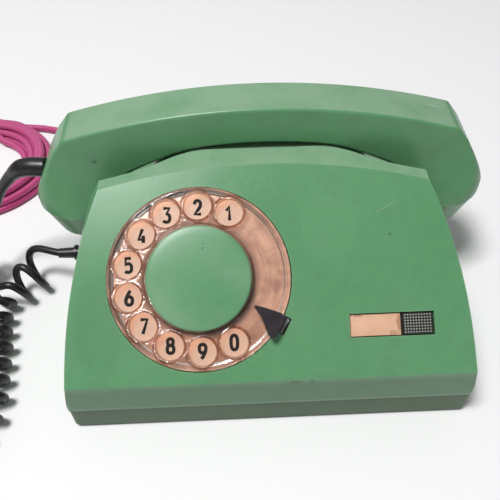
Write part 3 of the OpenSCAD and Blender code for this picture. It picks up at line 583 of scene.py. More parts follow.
def between(table, at):
    # straight lines between the rows of a table
    if at <= table[0][0]:
        return table[0][1]
    for (a, low), (b, high) in zip(table, table[1:]):
        if at <= b:
            return low + (high - low) * (at - a) / (b - a)
    return table[-1][1]


def sectionRing(outer, inner, s):
    # one slanted slice of the handset with rounded corners
    o, i = Vector((outer[0], 0, outer[1])), Vector((inner[0], 0, inner[1]))
    length = (o - i).length
    along = (o - i) / length
    low, high = (s["halfDepth"] + between(s["flare"], z) for z in (inner[1], outer[1]))
    corners = [(0, -low), (length, -high), (length, high), (0, low)]
    soft = [between(s["corner"], z) for z in (inner[1], outer[1], outer[1], inner[1])]
    ring = []
    for k, corner in enumerate(corners):
        before, after = corners[k - 1], corners[(k + 1) % 4]
        limit = min((Vector(corner) - Vector(side)).length for side in (before, after)) / 2
        for u, v in arcRound(corner, before, after, min(soft[k], limit * s["fullest"]), s["steps"]):
            place = i + along * u
            ring.append((place.x * mm, (s["y"] + v) * mm, place.z * mm))
    return ring


def makeHandset(s):
    right = [sectionRing(o, i, s) for o, i in zip(s["back"], s["inside"])]
    # the mirrored rings run the same way round as the others
    rings = [[(-x, y, z) for x, y, z in ring] for ring in reversed(right[1:])] + right
    shell = loftedPiece("handset_body", rings)
    print("handset loft:", len(shell.data.polygons))
    applied(shell, "SOLIDIFY", thickness=s["wall"] * mm, offset=-1, use_rim=True)
    drill(shell, shift(*s["leadHole"]) @ spun(s["leadTilt"], "Y"), s["leadRadius"], 0, 14)
    softEdges(shell, 0.3, 2, 60)
    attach(shell, "handset")
    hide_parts("handset_shell")
    return shell


handset = makeHandset(handsetShape)
print("handset made:", len(handset.data.polygons))

# shader helpers: groups give out colours, masks and heights only

def tint(red, green, blue):
    # the colour of an 8-bit swatch as the shader wants it
    return tuple((v / 255 / 12.92) if v < 10 else ((v / 255 + 0.055) / 1.055) ** 2.4
                 for v in (red, green, blue))


def feed(tree, socket, value):
    # a link or a fixed value; a colour of three numbers gets its fourth here
    if isinstance(value, bpy.types.NodeSocket):
        tree.links.new(value, socket)
    elif socket.type == "RGBA" and len(value) == 3:
        socket.default_value = (*value, 1)
    else:
        socket.default_value = value


def addNode(tree, kind, inputs=None, **settings):
    node = tree.nodes.new(kind)
    for key, value in settings.items():
        setattr(node, key, value)
    for key, value in (inputs or {}).items():
        feed(tree, node.inputs[key], value)
    return node


def calc(tree, operation, *values, clamp=False):
    inputs = dict(enumerate(values))
    return addNode(tree, "ShaderNodeMath", inputs, operation=operation, use_clamp=clamp).outputs[0]


def times(tree, first, second, clamp=False):
    return calc(tree, "MULTIPLY", first, second, clamp=clamp)


def plus(tree, first, second, clamp=False):
    return calc(tree, "ADD", first, second, clamp=clamp)


def less(tree, first, second):
    return calc(tree, "SUBTRACT", first, second)


def vectorCalc(tree, operation, *values, output="Vector"):
    inputs = dict(enumerate(values))
    return addNode(tree, "ShaderNodeVectorMath", inputs, operation=operation).outputs[output]


def scaled(tree, vector, amount):
    return addNode(tree, "ShaderNodeVectorMath", {0: vector, "Scale": amount}, operation="SCALE").outputs[0]


def axesOf(tree, vector):
    return addNode(tree, "ShaderNodeSeparateXYZ", {0: vector}).outputs


def ramped(tree, value, low, high, start=0.0, end=1.0):
    inputs = {"Value": value, "From Min": low, "From Max": high, "To Min": start, "To Max": end}
    return addNode(tree, "ShaderNodeMapRange", inputs, interpolation_type="SMOOTHSTEP").outputs["Result"]


def near(tree, value, level, outside, inside):
    # 1 where the value is within inside of a level, fading to 0 at outside
    return ramped(tree, calc(tree, "ABSOLUTE", less(tree, value, level)), outside, inside)


def noise(tree, vector, scale, detail=3.0, rough=0.55, distort=0.0):
    inputs = {"Vector": vector, "Scale": scale, "Detail": detail, "Roughness": rough, "Distortion": distort}
    return addNode(tree, "ShaderNodeTexNoise", inputs).outputs["Fac"]


def mixed(tree, factor, first, second):
    # inputs 0, 6 and 7 of the node are its factor and its two colours, output 2 is the colour
    return addNode(tree, "ShaderNodeMix", {0: factor, 6: first, 7: second}, data_type="RGBA").outputs[2]


def laid(tree, colour, tone, mask, strength):
    # a tone laid over a colour where the mask says
    return mixed(tree, times(tree, mask, strength), colour, tone)


def stretched(tree, vector, scale, turn=(0, 0, 0)):
    return addNode(tree, "ShaderNodeMapping", {"Vector": vector, "Scale": scale, "Rotation": turn}).outputs[0]


surfaceParts = ["Color", "Roughness", "Height"]


def newGroup(name, outputs, **inputs):
    # every group takes a place first; the kind of each other input follows from its usual value
    tree = bpy.data.node_groups.new(name, "ShaderNodeTree")
    for label, usual in {"Vector": (0, 0, 0), **inputs}.items():
        kind = "Float" if isinstance(usual, float) else ("Vector" if len(usual) == 3 else "Color")
        socket = tree.interface.new_socket(label, in_out="INPUT", socket_type="NodeSocket" + kind)
        socket.default_value = usual
    for label in outputs:
        kind = "Color" if label == "Color" else "Float"
        tree.interface.new_socket(label, in_out="OUTPUT", socket_type="NodeSocket" + kind)
    return tree, tree.nodes.new("NodeGroupInput").outputs, tree.nodes.new("NodeGroupOutput").inputs


def give(tree, sockets, **values):
    for key, value in values.items():
        tree.links.new(value, sockets[key.replace("_", " ")])
    return tree


def grouped(tree, group, **inputs):
    return addNode(tree, "ShaderNodeGroup", inputs, node_tree=group).outputs


def makeScratchGroup():
    # fine hairline scratches in three directions, only here and there
    tree, given, out = newGroup("hair_scratches", ["Mask"], Amount=0.5)
    total = None
    directions = (((0.4, 0.3, 0.5), 70), ((1.1, 0.2, -0.9), 90), ((0.2, 0.9, 2.1), 60))
    for k, (turn, scale) in enumerate(directions):
        line = noise(tree, stretched(tree, given["Vector"], (1, 0.03, 1), turn), scale * 10, 1.0, 0.4, 0.3)
        where = noise(tree, stretched(tree, given["Vector"], (1, 1, 1), turn), 26 + 9 * k, 2.0)
        here = times(tree, near(tree, line, 0.5, 0.006, 0.001), ramped(tree, where, 0.56, 0.68))
        total = here if total is None else calc(tree, "MAXIMUM", total, here)
    return give(tree, out, Mask=times(tree, total, given["Amount"], clamp=True))


def makeSpeckGroup():
    # small dots of dirt in some of the cells, which the noise scatters into fine grains
    tree, given, out = newGroup("dirt_specks", ["Mask"], Scale=120.0, Size=0.1, Share=0.2)
    scatter = addNode(tree, "ShaderNodeTexNoise", {"Vector": given["Vector"], "Scale": 900.0})
    bent = vectorCalc(tree, "ADD", given["Vector"], scatter.outputs["Color"])
    cell = addNode(tree, "ShaderNodeTexVoronoi", {"Vector": bent, "Scale": given["Scale"]}).outputs
    chance = addNode(tree, "ShaderNodeSeparateColor", {"Color": cell["Color"]}).outputs
    size = times(tree, given["Size"], plus(tree, chance[1], 0.3))
    dot = calc(tree, "LESS_THAN", cell["Distance"], size)
    return give(tree, out, Mask=times(tree, dot, calc(tree, "LESS_THAN", chance[0], given["Share"])))


def makePatchGroup():
    # a soft-edged mark at one place, broken up by noise
    tree, given, out = newGroup("mark_at_place", ["Mask"], Place=(0, 0, 0), Size=(0.01, 0.01, 0.01),
                                Ragged=0.5, Grain=400.0)
    off = vectorCalc(tree, "SUBTRACT", given["Vector"], given["Place"])
    far = vectorCalc(tree, "LENGTH", vectorCalc(tree, "DIVIDE", off, given["Size"]), output="Value")
    grain = less(tree, noise(tree, given["Vector"], given["Grain"]), 0.5)
    rough = times(tree, grain, times(tree, given["Ragged"], 3.0))
    return give(tree, out, Mask=ramped(tree, plus(tree, far, rough), 1.0, 0.55))


def makeLineGroup():
    # a thin wavering line between two places
    tree, given, out = newGroup("mark_along_line", ["Mask"], Start=(0, 0, 0), End=(0, 0, 0), Width=0.0003,
                                Waver=0.001)
    sway = addNode(tree, "ShaderNodeTexNoise", {"Vector": given["Vector"], "Scale": 120.0, "Detail": 3.0})
    centred = vectorCalc(tree, "SUBTRACT", sway.outputs["Color"], (0.5, 0.5, 0.5))
    spot = vectorCalc(tree, "ADD", given["Vector"], scaled(tree, centred, given["Waver"]))
    along = vectorCalc(tree, "SUBTRACT", given["End"], given["Start"])
    offStart = vectorCalc(tree, "SUBTRACT", spot, given["Start"])
    part = calc(tree, "DIVIDE", vectorCalc(tree, "DOT_PRODUCT", offStart, along, output="Value"),
                vectorCalc(tree, "DOT_PRODUCT", along, along, output="Value"), clamp=True)
    offLine = vectorCalc(tree, "SUBTRACT", offStart, scaled(tree, along, part))
    ratio = calc(tree, "DIVIDE", vectorCalc(tree, "LENGTH", offLine, output="Value"), given["Width"])
    ends = times(tree, ramped(tree, part, 0.0, 0.1), ramped(tree, part, 1.0, 0.85))
    return give(tree, out, Mask=times(tree, ramped(tree, ratio, 1.0, 0.3), ends))


def makeMouldGroup():
    # the base look of a moulded plastic: cloudy colour, scratches, specks, worn edges with a painted
    # highlight, and settled dust with a painted sheen on up-facing surfaces
    tree, given, out = newGroup("moulded_plastic", surfaceParts, Base=(0.2, 0.5, 0.26, 1),
                                Faded=(0.3, 0.5, 0.33, 1), Grime=(0.05, 0.08, 0.04, 1), Fade=0.4, Gloss=0.3,
                                Scratch=0.4, Dust=0.75)
    where = given["Vector"]
    cloud = noise(tree, where, 14, 4.0, 0.6)
    small = noise(tree, where, 110, 4.0, 0.65)
    colour = laid(tree, given["Base"], given["Faded"], ramped(tree, cloud, 0.35, 0.7), given["Fade"])
    colour = mixed(tree, ramped(tree, small, 0.35, 0.75, 0.0, 0.12), colour, given["Grime"])
    hair = grouped(tree, scratchGroup, Vector=where, Amount=given["Scratch"])["Mask"]
    colour = laid(tree, colour, given["Faded"], hair, 0.35)
    speck = grouped(tree, speckGroup, Vector=where, Scale=150.0, Size=0.13, Share=0.05)["Mask"]
    colour = laid(tree, colour, given["Grime"], speck, 0.4)
    surface = tree.nodes.new("ShaderNodeNewGeometry").outputs
    # edge wear and painted highlight: edges found by the bevel normal are laid paler, partly for the bright
    # lines the light draws along them
    softened = addNode(tree, "ShaderNodeBevel", {"Radius": 0.0011}, samples=4).outputs[0]
    alike = vectorCalc(tree, "DOT_PRODUCT", softened, surface["Normal"], output="Value")
    patchy = ramped(tree, noise(tree, where, 60), 0.35, 0.65, 0.3)
    edgeWearAndHighlight = times(tree, ramped(tree, alike, 0.998, 0.96), patchy)
    colour = laid(tree, colour, given["Faded"], edgeWearAndHighlight, 0.4)
    # settled dust and painted sheen: up-facing surfaces are laid paler, partly for the light falling on them
    # from above
    upward = axesOf(tree, surface["Normal"])["Z"]
    dustAndSheen = times(tree, ramped(tree, upward, 0.86, 0.97),
                    ramped(tree, noise(tree, where, 35, 4.0, 0.65), 0.25, 0.6, 0.5))
    colour = laid(tree, colour, given["Faded"], dustAndSheen, given["Dust"])
    rough = plus(tree, given["Gloss"], ramped(tree, cloud, 0.3, 0.7, -0.02, 0.03))
    rough = plus(tree, rough, ramped(tree, small, 0.3, 0.7, -0.01, 0.02))
    rough = plus(tree, rough, times(tree, hair, 0.2))
    ripple = times(tree, noise(tree, where, 45, 2.0), 0.6)
    grain = times(tree, noise(tree, where, 900, 2.0), 0.08)
    height = less(tree, plus(tree, ripple, grain), times(tree, hair, 0.25))
    return give(tree, out, Color=colour, Roughness=rough, Height=height)


scratchGroup = makeScratchGroup()
speckGroup = makeSpeckGroup()
patchGroup = makePatchGroup()
lineGroup = makeLineGroup()
mouldGroup = makeMouldGroup()


def newMaterial(name, colour, rough, **fixed):
    material = bpy.data.materials.new(name)
    material.use_nodes = True
    tree = material.node_tree
    shader = tree.nodes["Principled BSDF"].inputs
    for key, value in {"Base_Color": colour, "Roughness": rough, **fixed}.items():
        feed(tree, shader[key.replace("_", " ")], value)
    where = tree.nodes.new("ShaderNodeTexCoord").outputs["Object"]
    return material, tree, shader, where


def surfaced(tree, shader, colour, rough, height, distance):
    bump = addNode(tree, "ShaderNodeBump", {"Height": height, "Strength": 1.0, "Distance": distance})
    give(tree, shader, Base_Color=colour, Roughness=rough, Normal=bump.outputs["Normal"])


def dress(piece, material):
    if not piece.material_slots:
        piece.data.materials.append(material)
    for slot in piece.material_slots:
        slot.material = material


# painted shade and dirt by height on every piece with this look, in metres: painted shade along the foot of
# the cover, dirt in its joint with the tray, and worn pale on the rim above the joint
lowShadeAndSeamDirt = {
    "foot": (0.041, 0.034), "footShadeTone": tint(42, 62, 36), "footShadeStrength": 0.45,
    "joint": (0.0172, 0.0010, 0.0005), "jointTone": tint(16, 28, 18), "jointStrength": 0.9,
    "rim": (0.0191, 0.0007, 0.0002), "rimStrength": 0.3,
}
moulded = {"bump": 0.00012, "lineDepth": 0.6}


def mintMaterial(name, base, faded, grime, marks=(), lines=(), gloss=0.27, fade=0.1):
    # marks: place, size, colour, strength, raggedness; lines: start, end, width, colour, strength, waver
    material, tree, shader, where = newMaterial(name, base, gloss)
    look = grouped(tree, mouldGroup, Vector=where, Base=base, Faded=faded, Grime=grime, Fade=fade,
                   Gloss=gloss)
    colour, height = look["Color"], look["Height"]
    for place, size, tone, strength, ragged in marks:
        mask = grouped(tree, patchGroup, Vector=where, Place=place, Size=size, Ragged=ragged)["Mask"]
        colour = laid(tree, colour, tone, mask, strength)
    s = lowShadeAndSeamDirt
    level = axesOf(tree, where)["Z"]
    # painted shade: darker towards the bottom of the low front faces, where little light reaches
    colour = laid(tree, colour, s["footShadeTone"], ramped(tree, level, *s["foot"]), s["footShadeStrength"])
    colour = laid(tree, colour, s["jointTone"], near(tree, level, *s["joint"]), s["jointStrength"])
    colour = laid(tree, colour, faded, near(tree, level, *s["rim"]), s["rimStrength"])
    for start, end, width, tone, strength, waver in lines:
        mask = grouped(tree, lineGroup, Vector=where, Start=start, End=end, Width=width, Waver=waver)["Mask"]
        colour = laid(tree, colour, tone, mask, strength)
        height = less(tree, height, times(tree, mask, moulded["lineDepth"]))
    surfaced(tree, shader, colour, look["Roughness"], height, moulded["bump"])
    return material


# dial

dialShape = {
    "ring": 34.3, "step": 25.9, "first": 26.3, "hole": 6.8, "collar": 7.6,
    "wheel": [(3.1, 0.35), (3.4, 0.2), (26.0, 0.2), (26.35, 0.5), (26.35, 1.4), (39.4, 1.4), (40.2, 0.9),
              (40.6, 0.35), (41.0, 0.2), (42.6, 0.2), (43, 0.6), (43, 2.6), (42.6, 3.2), (41.9, 3.55),
              (41.3, 3.55), (40.6, 3.3), (39.8, 3.05), (26.4, 3.05), (25.8, 2.95), (25.2, 2.2), (3.4, 2.2),
              (3.1, 2.05)],
    "cap": [(0, 4.85), (4, 4.84), (8, 4.8), (12, 4.73), (16.75, 4.6), (20.5, 4.45), (23.4, 4.3), (24.0, 4.2),
            (24.45, 3.95), (24.7, 3.6), (24.75, 3.2), (24.75, 2.3), (24.2, 2.25), (6.2, 2.25), (6.0, 2.5),
            (6.0, 3.7), (5.6, 3.9), (0, 3.9)],
}


def clockwise(angle, radius):
    return radius * sin(radians(angle)), radius * cos(radians(angle))


def makeWheel(s):
    wheel = turnedPiece("wheel_ring", s["wheel"], Matrix(), 128)
    places = [shift(*clockwise(s["first"] - k * s["step"], s["ring"])) for k in range(10)]
    outer = s["collar"]
    collar = [(0, -2.2), (outer - 0.2, -2.2), (outer, -2), (outer, 3.3), (outer - 0.25, 3.5), (0, 3.5)]
    for place in places:
        cut(wheel, turnedPiece("collar", collar, place, 48), "UNION")
    for place in places:
        drill(wheel, place, s["hole"], -4, 8, 48)
    placed(wheel, onDial)
    softEdges(wheel, 0.16, 2, 50)
    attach(wheel, "dial")
    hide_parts("finger_wheel")
    return wheel


def makeWheelCap(s):
    cap = turnedPiece("wheel_cap_dome", s["cap"], onDial, 128)
    smooth(cap)
    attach(cap, "dial")
    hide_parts("wheel_cap")
    return cap


stopShape = {
    # radius and clockwise angle of the blade's corners
    "blade": [(28.6, 119.5), (29.6, 117.4), (35.5, 115.9), (41.8, 115.2), (43.4, 116.4), (44.3, 119.8),
              (45, 130), (43.4, 132), (41.6, 131.4), (34.8, 124.4)],
    "cornerRadius": 0.5, "thick": 2.2, "level": 4.1,
    "leg": (7.6, 1.6, 0.5, 3), "legAngle": -121, "legRadius": 44.3, "legLow": -4.2, "legHigh": 8.5,
}


def makeStop(s):
    outline = [clockwise(angle, radius) for radius, angle in s["blade"]]
    rounded = []
    for k, corner in enumerate(outline):
        after = outline[(k + 1) % len(outline)]
        rounded += arcRound(corner, outline[k - 1], after, s["cornerRadius"], 3)
    stop = drawnBlock("finger_stop_blade", rounded, s["thick"], shift(z=s["level"]))
    leg = spun(s["legAngle"], "Z") @ shift(y=s["legRadius"], z=s["legLow"])
    cut(stop, drawnBlock("leg", softOutline(*s["leg"]), s["legHigh"], leg), "UNION")
    placed(stop, onDial)
    softEdges(stop, 0.35, 3, 40)
    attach(stop, "housing")
    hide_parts("finger_stop")
    return stop


digitShape = {
    "high": 8.3, "wide": 4.7, "stroke": 1.62, "level": -2.55, "flat": 0.12, "loopSteps": 32, "square": 0.8,
    # strokes as x, y in a box 1 wide and 1 high; a loop has its middle and its half width and height
    "0": [[("loop", 0.5, 0.5, 0.5, 0.5)]],
    "1": [[(0.08, 0.70), (0.55, 1.0), (0.55, 0.0)]],
    "2": [[(0.03, 0.72), (0.06, 0.86), (0.2, 0.97), (0.48, 1.0), (0.78, 0.95), (0.93, 0.83), (0.95, 0.68),
           (0.86, 0.53), (0.55, 0.32), (0.0, 0.0), (1.0, 0.0)]],
    "3": [[(0.03, 1.0), (0.95, 1.0), (0.5, 0.6), (0.78, 0.56), (0.95, 0.44), (1.0, 0.29), (0.93, 0.12),
           (0.72, 0.01), (0.4, 0.0), (0.12, 0.04), (0.0, 0.13)]],
    "4": [[(0.62, 1.0), (0.0, 0.25), (1.0, 0.25)], [(0.72, 0.52), (0.72, 0.0)]],
    "5": [[(0.92, 1.0), (0.1, 1.0), (0.06, 0.55), (0.3, 0.62), (0.6, 0.63), (0.88, 0.54), (1.0, 0.36),
           (0.97, 0.18), (0.8, 0.04), (0.5, 0.0), (0.18, 0.03), (0.0, 0.1)]],
    "6": [[(0.72, 1.0), (0.42, 0.82), (0.16, 0.58), (0.02, 0.34)], [("loop", 0.5, 0.29, 0.5, 0.29)]],
    "7": [[(0.0, 1.0), (1.0, 1.0), (0.3, 0.0)]],
    "8": [[("loop", 0.5, 0.27, 0.5, 0.27)], [("loop", 0.5, 0.78, 0.42, 0.22)]],
    "9": [[(0.28, 0.0), (0.58, 0.18), (0.84, 0.42), (0.98, 0.66)], [("loop", 0.5, 0.71, 0.5, 0.29)]],
}


def digitStroke(points, s):
    # a loop becomes a rounded, slightly square ring of points
    if points[0][0] != "loop":
        return points, False
    cx, cy, rx, ry = points[0][1:]
    ring = []
    for k in range(s["loopSteps"]):
        c, d = cos(2 * pi * k / s["loopSteps"]), sin(2 * pi * k / s["loopSteps"])
        ring.append((cx + rx * abs(c) ** s["square"] * (1 if c > 0 else -1),
                     cy + ry * abs(d) ** s["square"] * (1 if d > 0 else -1)))
    return ring, True


def makeDigits(s):
    # each digit's strokes are flat ribbons, one curve for all ten, then a mesh
    data = bpy.data.curves.new("dial_digits", "CURVE")
    data.dimensions = "3D"
    data.bevel_depth = s["stroke"] / 2 * mm
    data.bevel_resolution = 2
    data.use_fill_caps = True
    wide, high = s["wide"] - s["stroke"], s["high"] - s["stroke"]
    for k in range(10):
        x, y = clockwise(dialShape["first"] - k * dialShape["step"], dialShape["ring"])
        for stroke in s[str((k + 1) % 10)]:
            points, closed = digitStroke(stroke, s)
            spline = data.splines.new("POLY")
            spline.points.add(len(points) - 1)
            spline.use_cyclic_u = closed
            for spot, (u, v) in zip(spline.points, points):
                spot.co = ((x + (u - 0.5) * wide) * mm, (y + (v - 0.5) * high) * mm, 0, 1)
    digits = bpy.data.objects.new("dial_digits", data)
    bpy.context.collection.objects.link(digits)
    digits = asMesh(digits)
    placed(digits, onDial @ shift(z=s["level"]) @ Matrix.Diagonal((1, 1, s["flat"], 1)))
    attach(digits, "housing")
    return digits


wheel = makeWheel(dialShape)
wheelCap = makeWheelCap(dialShape)
stop = makeStop(stopShape)
digits = makeDigits(digitShape)
print("dial made:", len(wheel.data.polygons), "faces in the wheel")

# tray under the body

trayShape = {
    "width": 199.2, "depth": 170.2, "radius": 2.5, "low": 2.0, "high": 17.1, "wall": 2.7, "floor": 2.4,
    "setBack": 0.4,
    "feet": [(-66, -68), (66, -68), (-66, 66), (66, 66)], "footWell": (7.1, -1, 3),
    # posts with a hole for the screw's shaft and a well for its head: radius, low and high
    "screws": [(-82, -68), (82, -68), (-82, 66), (82, 66)],
    "post": (4, 3.2, 16.8), "head": (3.4, 0, 4.2), "shaft": (1.8, 3, 20),
}


def makeTray(s):
    at = shift(y=s["setBack"], z=s["low"])
    tray = drawnBlock("tray", softOutline(s["width"], s["depth"], s["radius"], 5), s["high"] - s["low"], at)
    softEdges(tray, 0.7, 3, 40)
    hollow = softOutline(s["width"] - 2 * s["wall"], s["depth"] - 2 * s["wall"], 2)
    cut(tray, drawnBlock("inside", hollow, 30, at @ shift(z=s["floor"])))
    for x, y in s["feet"]:
        drill(tray, shift(x, y, 1), *s["footWell"])
    outer, low, high = s["post"]
    inner = s["shaft"][0]
    for x, y in s["screws"]:
        post = [(inner, low), (outer, low), (outer, high), (inner, high)]
        cut(tray, turnedPiece("post", post, shift(x, y), 32), "UNION")
        drill(tray, shift(x, y), *s["head"], 32)
        drill(tray, shift(x, y), *s["shaft"], 24)
    softEdges(tray, 0.25, 2, 60)
    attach(tray, "housing")
    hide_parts("base_tray")
    return tray


tray = makeTray(trayShape)
print("tray made:", len(tray.data.polygons))

# caps under the handset

capShape = {
    "profile": [(0, 44.9), (5, 44.8), (9, 44.6), (12.5, 44.2), (15.2, 43.7), (16.6, 43.7), (17.4, 44.5),
                (23.5, 62.6), (23.9, 63.15), (23.6, 63.45), (19.6, 63.45), (19.6, 67.5), (18, 67.5),
                (18, 62.5), (15.6, 46.7), (0, 46.9)],
    "y": 25, "holes": {"ear_cap": (-97.3, 6), "mouth_cap": (97.3, 3)},
    "holeRing": 6, "hole": (1.2, 40, 52),
}


def makeCaps(s):
    caps = []
    for node, (x, count) in s["holes"].items():
        at = shift(x, s["y"])
        cap = turnedPiece(node + "_shell", s["profile"], at)
        drill(cap, at, *s["hole"], 24)
        for k in range(count):
            angle = 2 * pi * k / count
            drill(cap, at @ shift(s["holeRing"] * cos(angle), s["holeRing"] * sin(angle)), *s["hole"], 24)
        softEdges(cap, 0.3, 2, 45)
        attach(cap, "handset")
        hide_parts(node)
        caps.append(cap)
    return caps


# window with the label and the recall button

windowShape = {
    # left, right, bottom, top, low and height, on the panel
    "card": (37.75, 61.75, 19.75, 30.15, -1.98, 0.5),
    "key": (62.85, 76.85, 19.85, 30.05, -5, 3.7),
    "flange": (62.3, 77.5, 18.2, 31.7, -4.9, 1.5),
    "corner": 0.35, "stemAt": (69.85, 24.95), "stem": (1.9, -11, -4),
    # dots across and up, their spacing, and the place of the first
    "dots": (10, 7, 1.333, 1.35), "firstDot": (63.85, 20.9), "dotLevel": -1.3,
    "dot": [(0, -0.1), (0.46, -0.1), (0.44, 0.28), (0.32, 0.42), (0, 0.46)],
}


def panelBlock(name, size, corner):
    x0, x1, s0, s1, low, high = size
    at = onPanel @ shift((x0 + x1) / 2, (s0 + s1) / 2, low)
    return drawnBlock(name, softOutline(x1 - x0, s1 - s0, corner, 3), high, at)


def makeKeyDots(s):
    first = turnedPiece("key_dots", s["dot"], Matrix(), 8)
    smooth(first, 60)
    across, up, stepX, stepY = s["dots"]
    x, y = s["firstDot"]
    dots = []
    for i in range(across):
        for j in range(up):
            dot = first.copy()
            dot.data = first.data.copy()
            bpy.context.collection.objects.link(dot)
            dots.append(placed(dot, onPanel @ shift(x + i * stepX, y + j * stepY, s["dotLevel"])))
    bpy.data.objects.remove(first)
    dots = joined(*dots)
    dots.name = dots.data.name = "key_dots"
    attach(dots, "recall_key")
    return dots


def makeWindowPieces(s):
    card = panelBlock("label", s["card"], s["corner"])
    softEdges(card, 0.1, 2)
    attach(card, "housing")
    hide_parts("label_card")
    key = panelBlock("recall_key_top", s["key"], s["corner"])
    cut(key, panelBlock("flange", s["flange"], s["corner"]), "UNION")
    drill(key, onPanel @ shift(*s["stemAt"]), *s["stem"], 32, "UNION")
    softEdges(key, 0.3, 3)
    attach(key, "recall_key")
    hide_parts("recall_button")
    return card, key, makeKeyDots(s)


# sleeve where the curly cord leaves the handset

reliefShape = {
    "route": [(-111.6, 24.9, 79.4), (-117.5, 25.2, 79.8), (-123.5, 25.6, 79.7), (-128.5, 26, 78.1),
              (-133.5, 26.6, 74), (-138.5, 27.1, 68.6), (-143, 27.6, 63), (-146.6, 27.9, 57.2),
              (-149.2, 28, 52.2)],
    # radius by the distance along the route
    "radii": [(0, 3.9), (1.8, 3.9), (2.1, 5.3), (9, 5.2), (16, 4.9), (20, 4.3), (24, 3.6), (34, 3.1),
              (50, 2.6)],
    "step": 0.5, "roundness": 6,
}


def makeRelief(s):
    route = evenRoute(smoothRoute(s["route"], 8), s["step"])
    radii = [between(s["radii"], at) for at in lengths(route)]
    # the curve has a radius of 1 mm, and the radii multiply it
    sleeve = cordCurve("handset_relief_sleeve", [place * mm for place in route], 2 * mm, radii)
    sleeve.data.bevel_resolution = s["roundness"]
    sleeve = asMesh(sleeve, 50)
    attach(sleeve, "handset")
    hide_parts("handset_relief")
    return sleeve


relief = makeRelief(reliefShape)
caps = makeCaps(capShape)
card, key, dots = makeWindowPieces(windowShape)
print("caps, label and button made")


# materials

def smallMarks(places, tone, strength, size=0.0011, ragged=0.5):
    return [(place, (size * a, size * a, size * b), tone, strength, ragged) for place, a, b in places]


mint, faded, grime = tint(86, 143, 98), tint(140, 170, 142), tint(40, 62, 40)
mintLook = {
    "body": {
        "marks": [
            ((0.030, -0.0275, 0.0809), (0.018, 0.02, 0.02), tint(96, 150, 106), 0.4, 0.3),
            ((-0.080, -0.062, 0.056), (0.016, 0.03, 0.03), tint(70, 120, 82), 0.3, 0.15),
        ] + smallMarks([
            ((0.0590, -0.0309, 0.0785), 0.8, 0.8), ((0.0105, -0.0862, 0.0375), 4.0, 1.6),
            ((0.0185, -0.0861, 0.038), 1.5, 2.4), ((-0.0736, -0.0862, 0.0389), 1.6, 0.9),
            ((-0.0180, -0.0440, 0.0700), 0.7, 0.7)], tint(52, 84, 60), 0.55),
        "lines": [
            ((0.0525, -0.0224, 0.0845), (0.0625, -0.0180, 0.0877), 0.00045, tint(128, 150, 112), 0.6, 0.0006),
            ((0.018, -0.0862, 0.040), (0.020, -0.085, 0.034), 0.0004, tint(50, 80, 56), 0.6, 0.0005),
        ],
    },
    "handset": {
        "marks": smallMarks([
            ((-0.0963, 0.0100, 0.0861), 0.9, 0.9), ((-0.0836, 0.0110, 0.0941), 1.8, 1.1),
            ((0.1078, 0.0100, 0.0762), 1.8, 2.4)], tint(44, 72, 50), 0.6),
        "lines": [
            ((0.0827, 0.0285, 0.1095), (0.1010, 0.0275, 0.1052), 0.0003, tint(214, 226, 208), 0.75, 0.0010),
            ((0.0827, 0.0279, 0.1095), (0.1010, 0.0269, 0.1052), 0.00022, tint(40, 70, 46), 0.7, 0.0010),
        ],
        "gloss": 0.33, "fade": 0.18,
    },
    "dialCap": {
        "marks": smallMarks([
            ((-0.0300, -0.0372, 0.0795), 0.8, 1.0), ((-0.0300, -0.0352, 0.081), 0.6, 0.6)],
            tint(50, 84, 58), 0.5),
        "gloss": 0.34, "fade": 0.75,
    },
}


def holeField(tree, where):
    # place, radius and angle on the dial, and the distance to the middle of the nearest finger hole
    s = dialShape
    local = vectorCalc(tree, "SUBTRACT", where, tuple(onDial.translation))
    level = {"Vector": local, "Angle": -radians(panelPlace["slope"])}
    turned = addNode(tree, "ShaderNodeVectorRotate", level, rotation_type="X_AXIS").outputs[0]
    x, y = axesOf(tree, turned)[:2]
    radius = calc(tree, "SQRT", plus(tree, times(tree, x, x), times(tree, y, y)))
    angle = calc(tree, "ARCTAN2", x, y)
    step = radians(s["step"])
    count = calc(tree, "DIVIDE", less(tree, radians(s["first"]), angle), step)
    count = calc(tree, "WRAP", count, 2 * pi / step - 2.5, -2.5)  # hole 0 to 9, and the gap after it
    nearest = calc(tree, "MINIMUM", calc(tree, "MAXIMUM", calc(tree, "ROUND", count), 0.0), 9.0)
    off = times(tree, less(tree, count, nearest), step)
    dx = times(tree, radius, calc(tree, "SINE", off))
    dy = less(tree, times(tree, radius, calc(tree, "COSINE", off)), s["ring"] * mm)
    away = calc(tree, "SQRT", plus(tree, times(tree, dx, dx), times(tree, dy, dy)))
    return turned, radius, angle, away


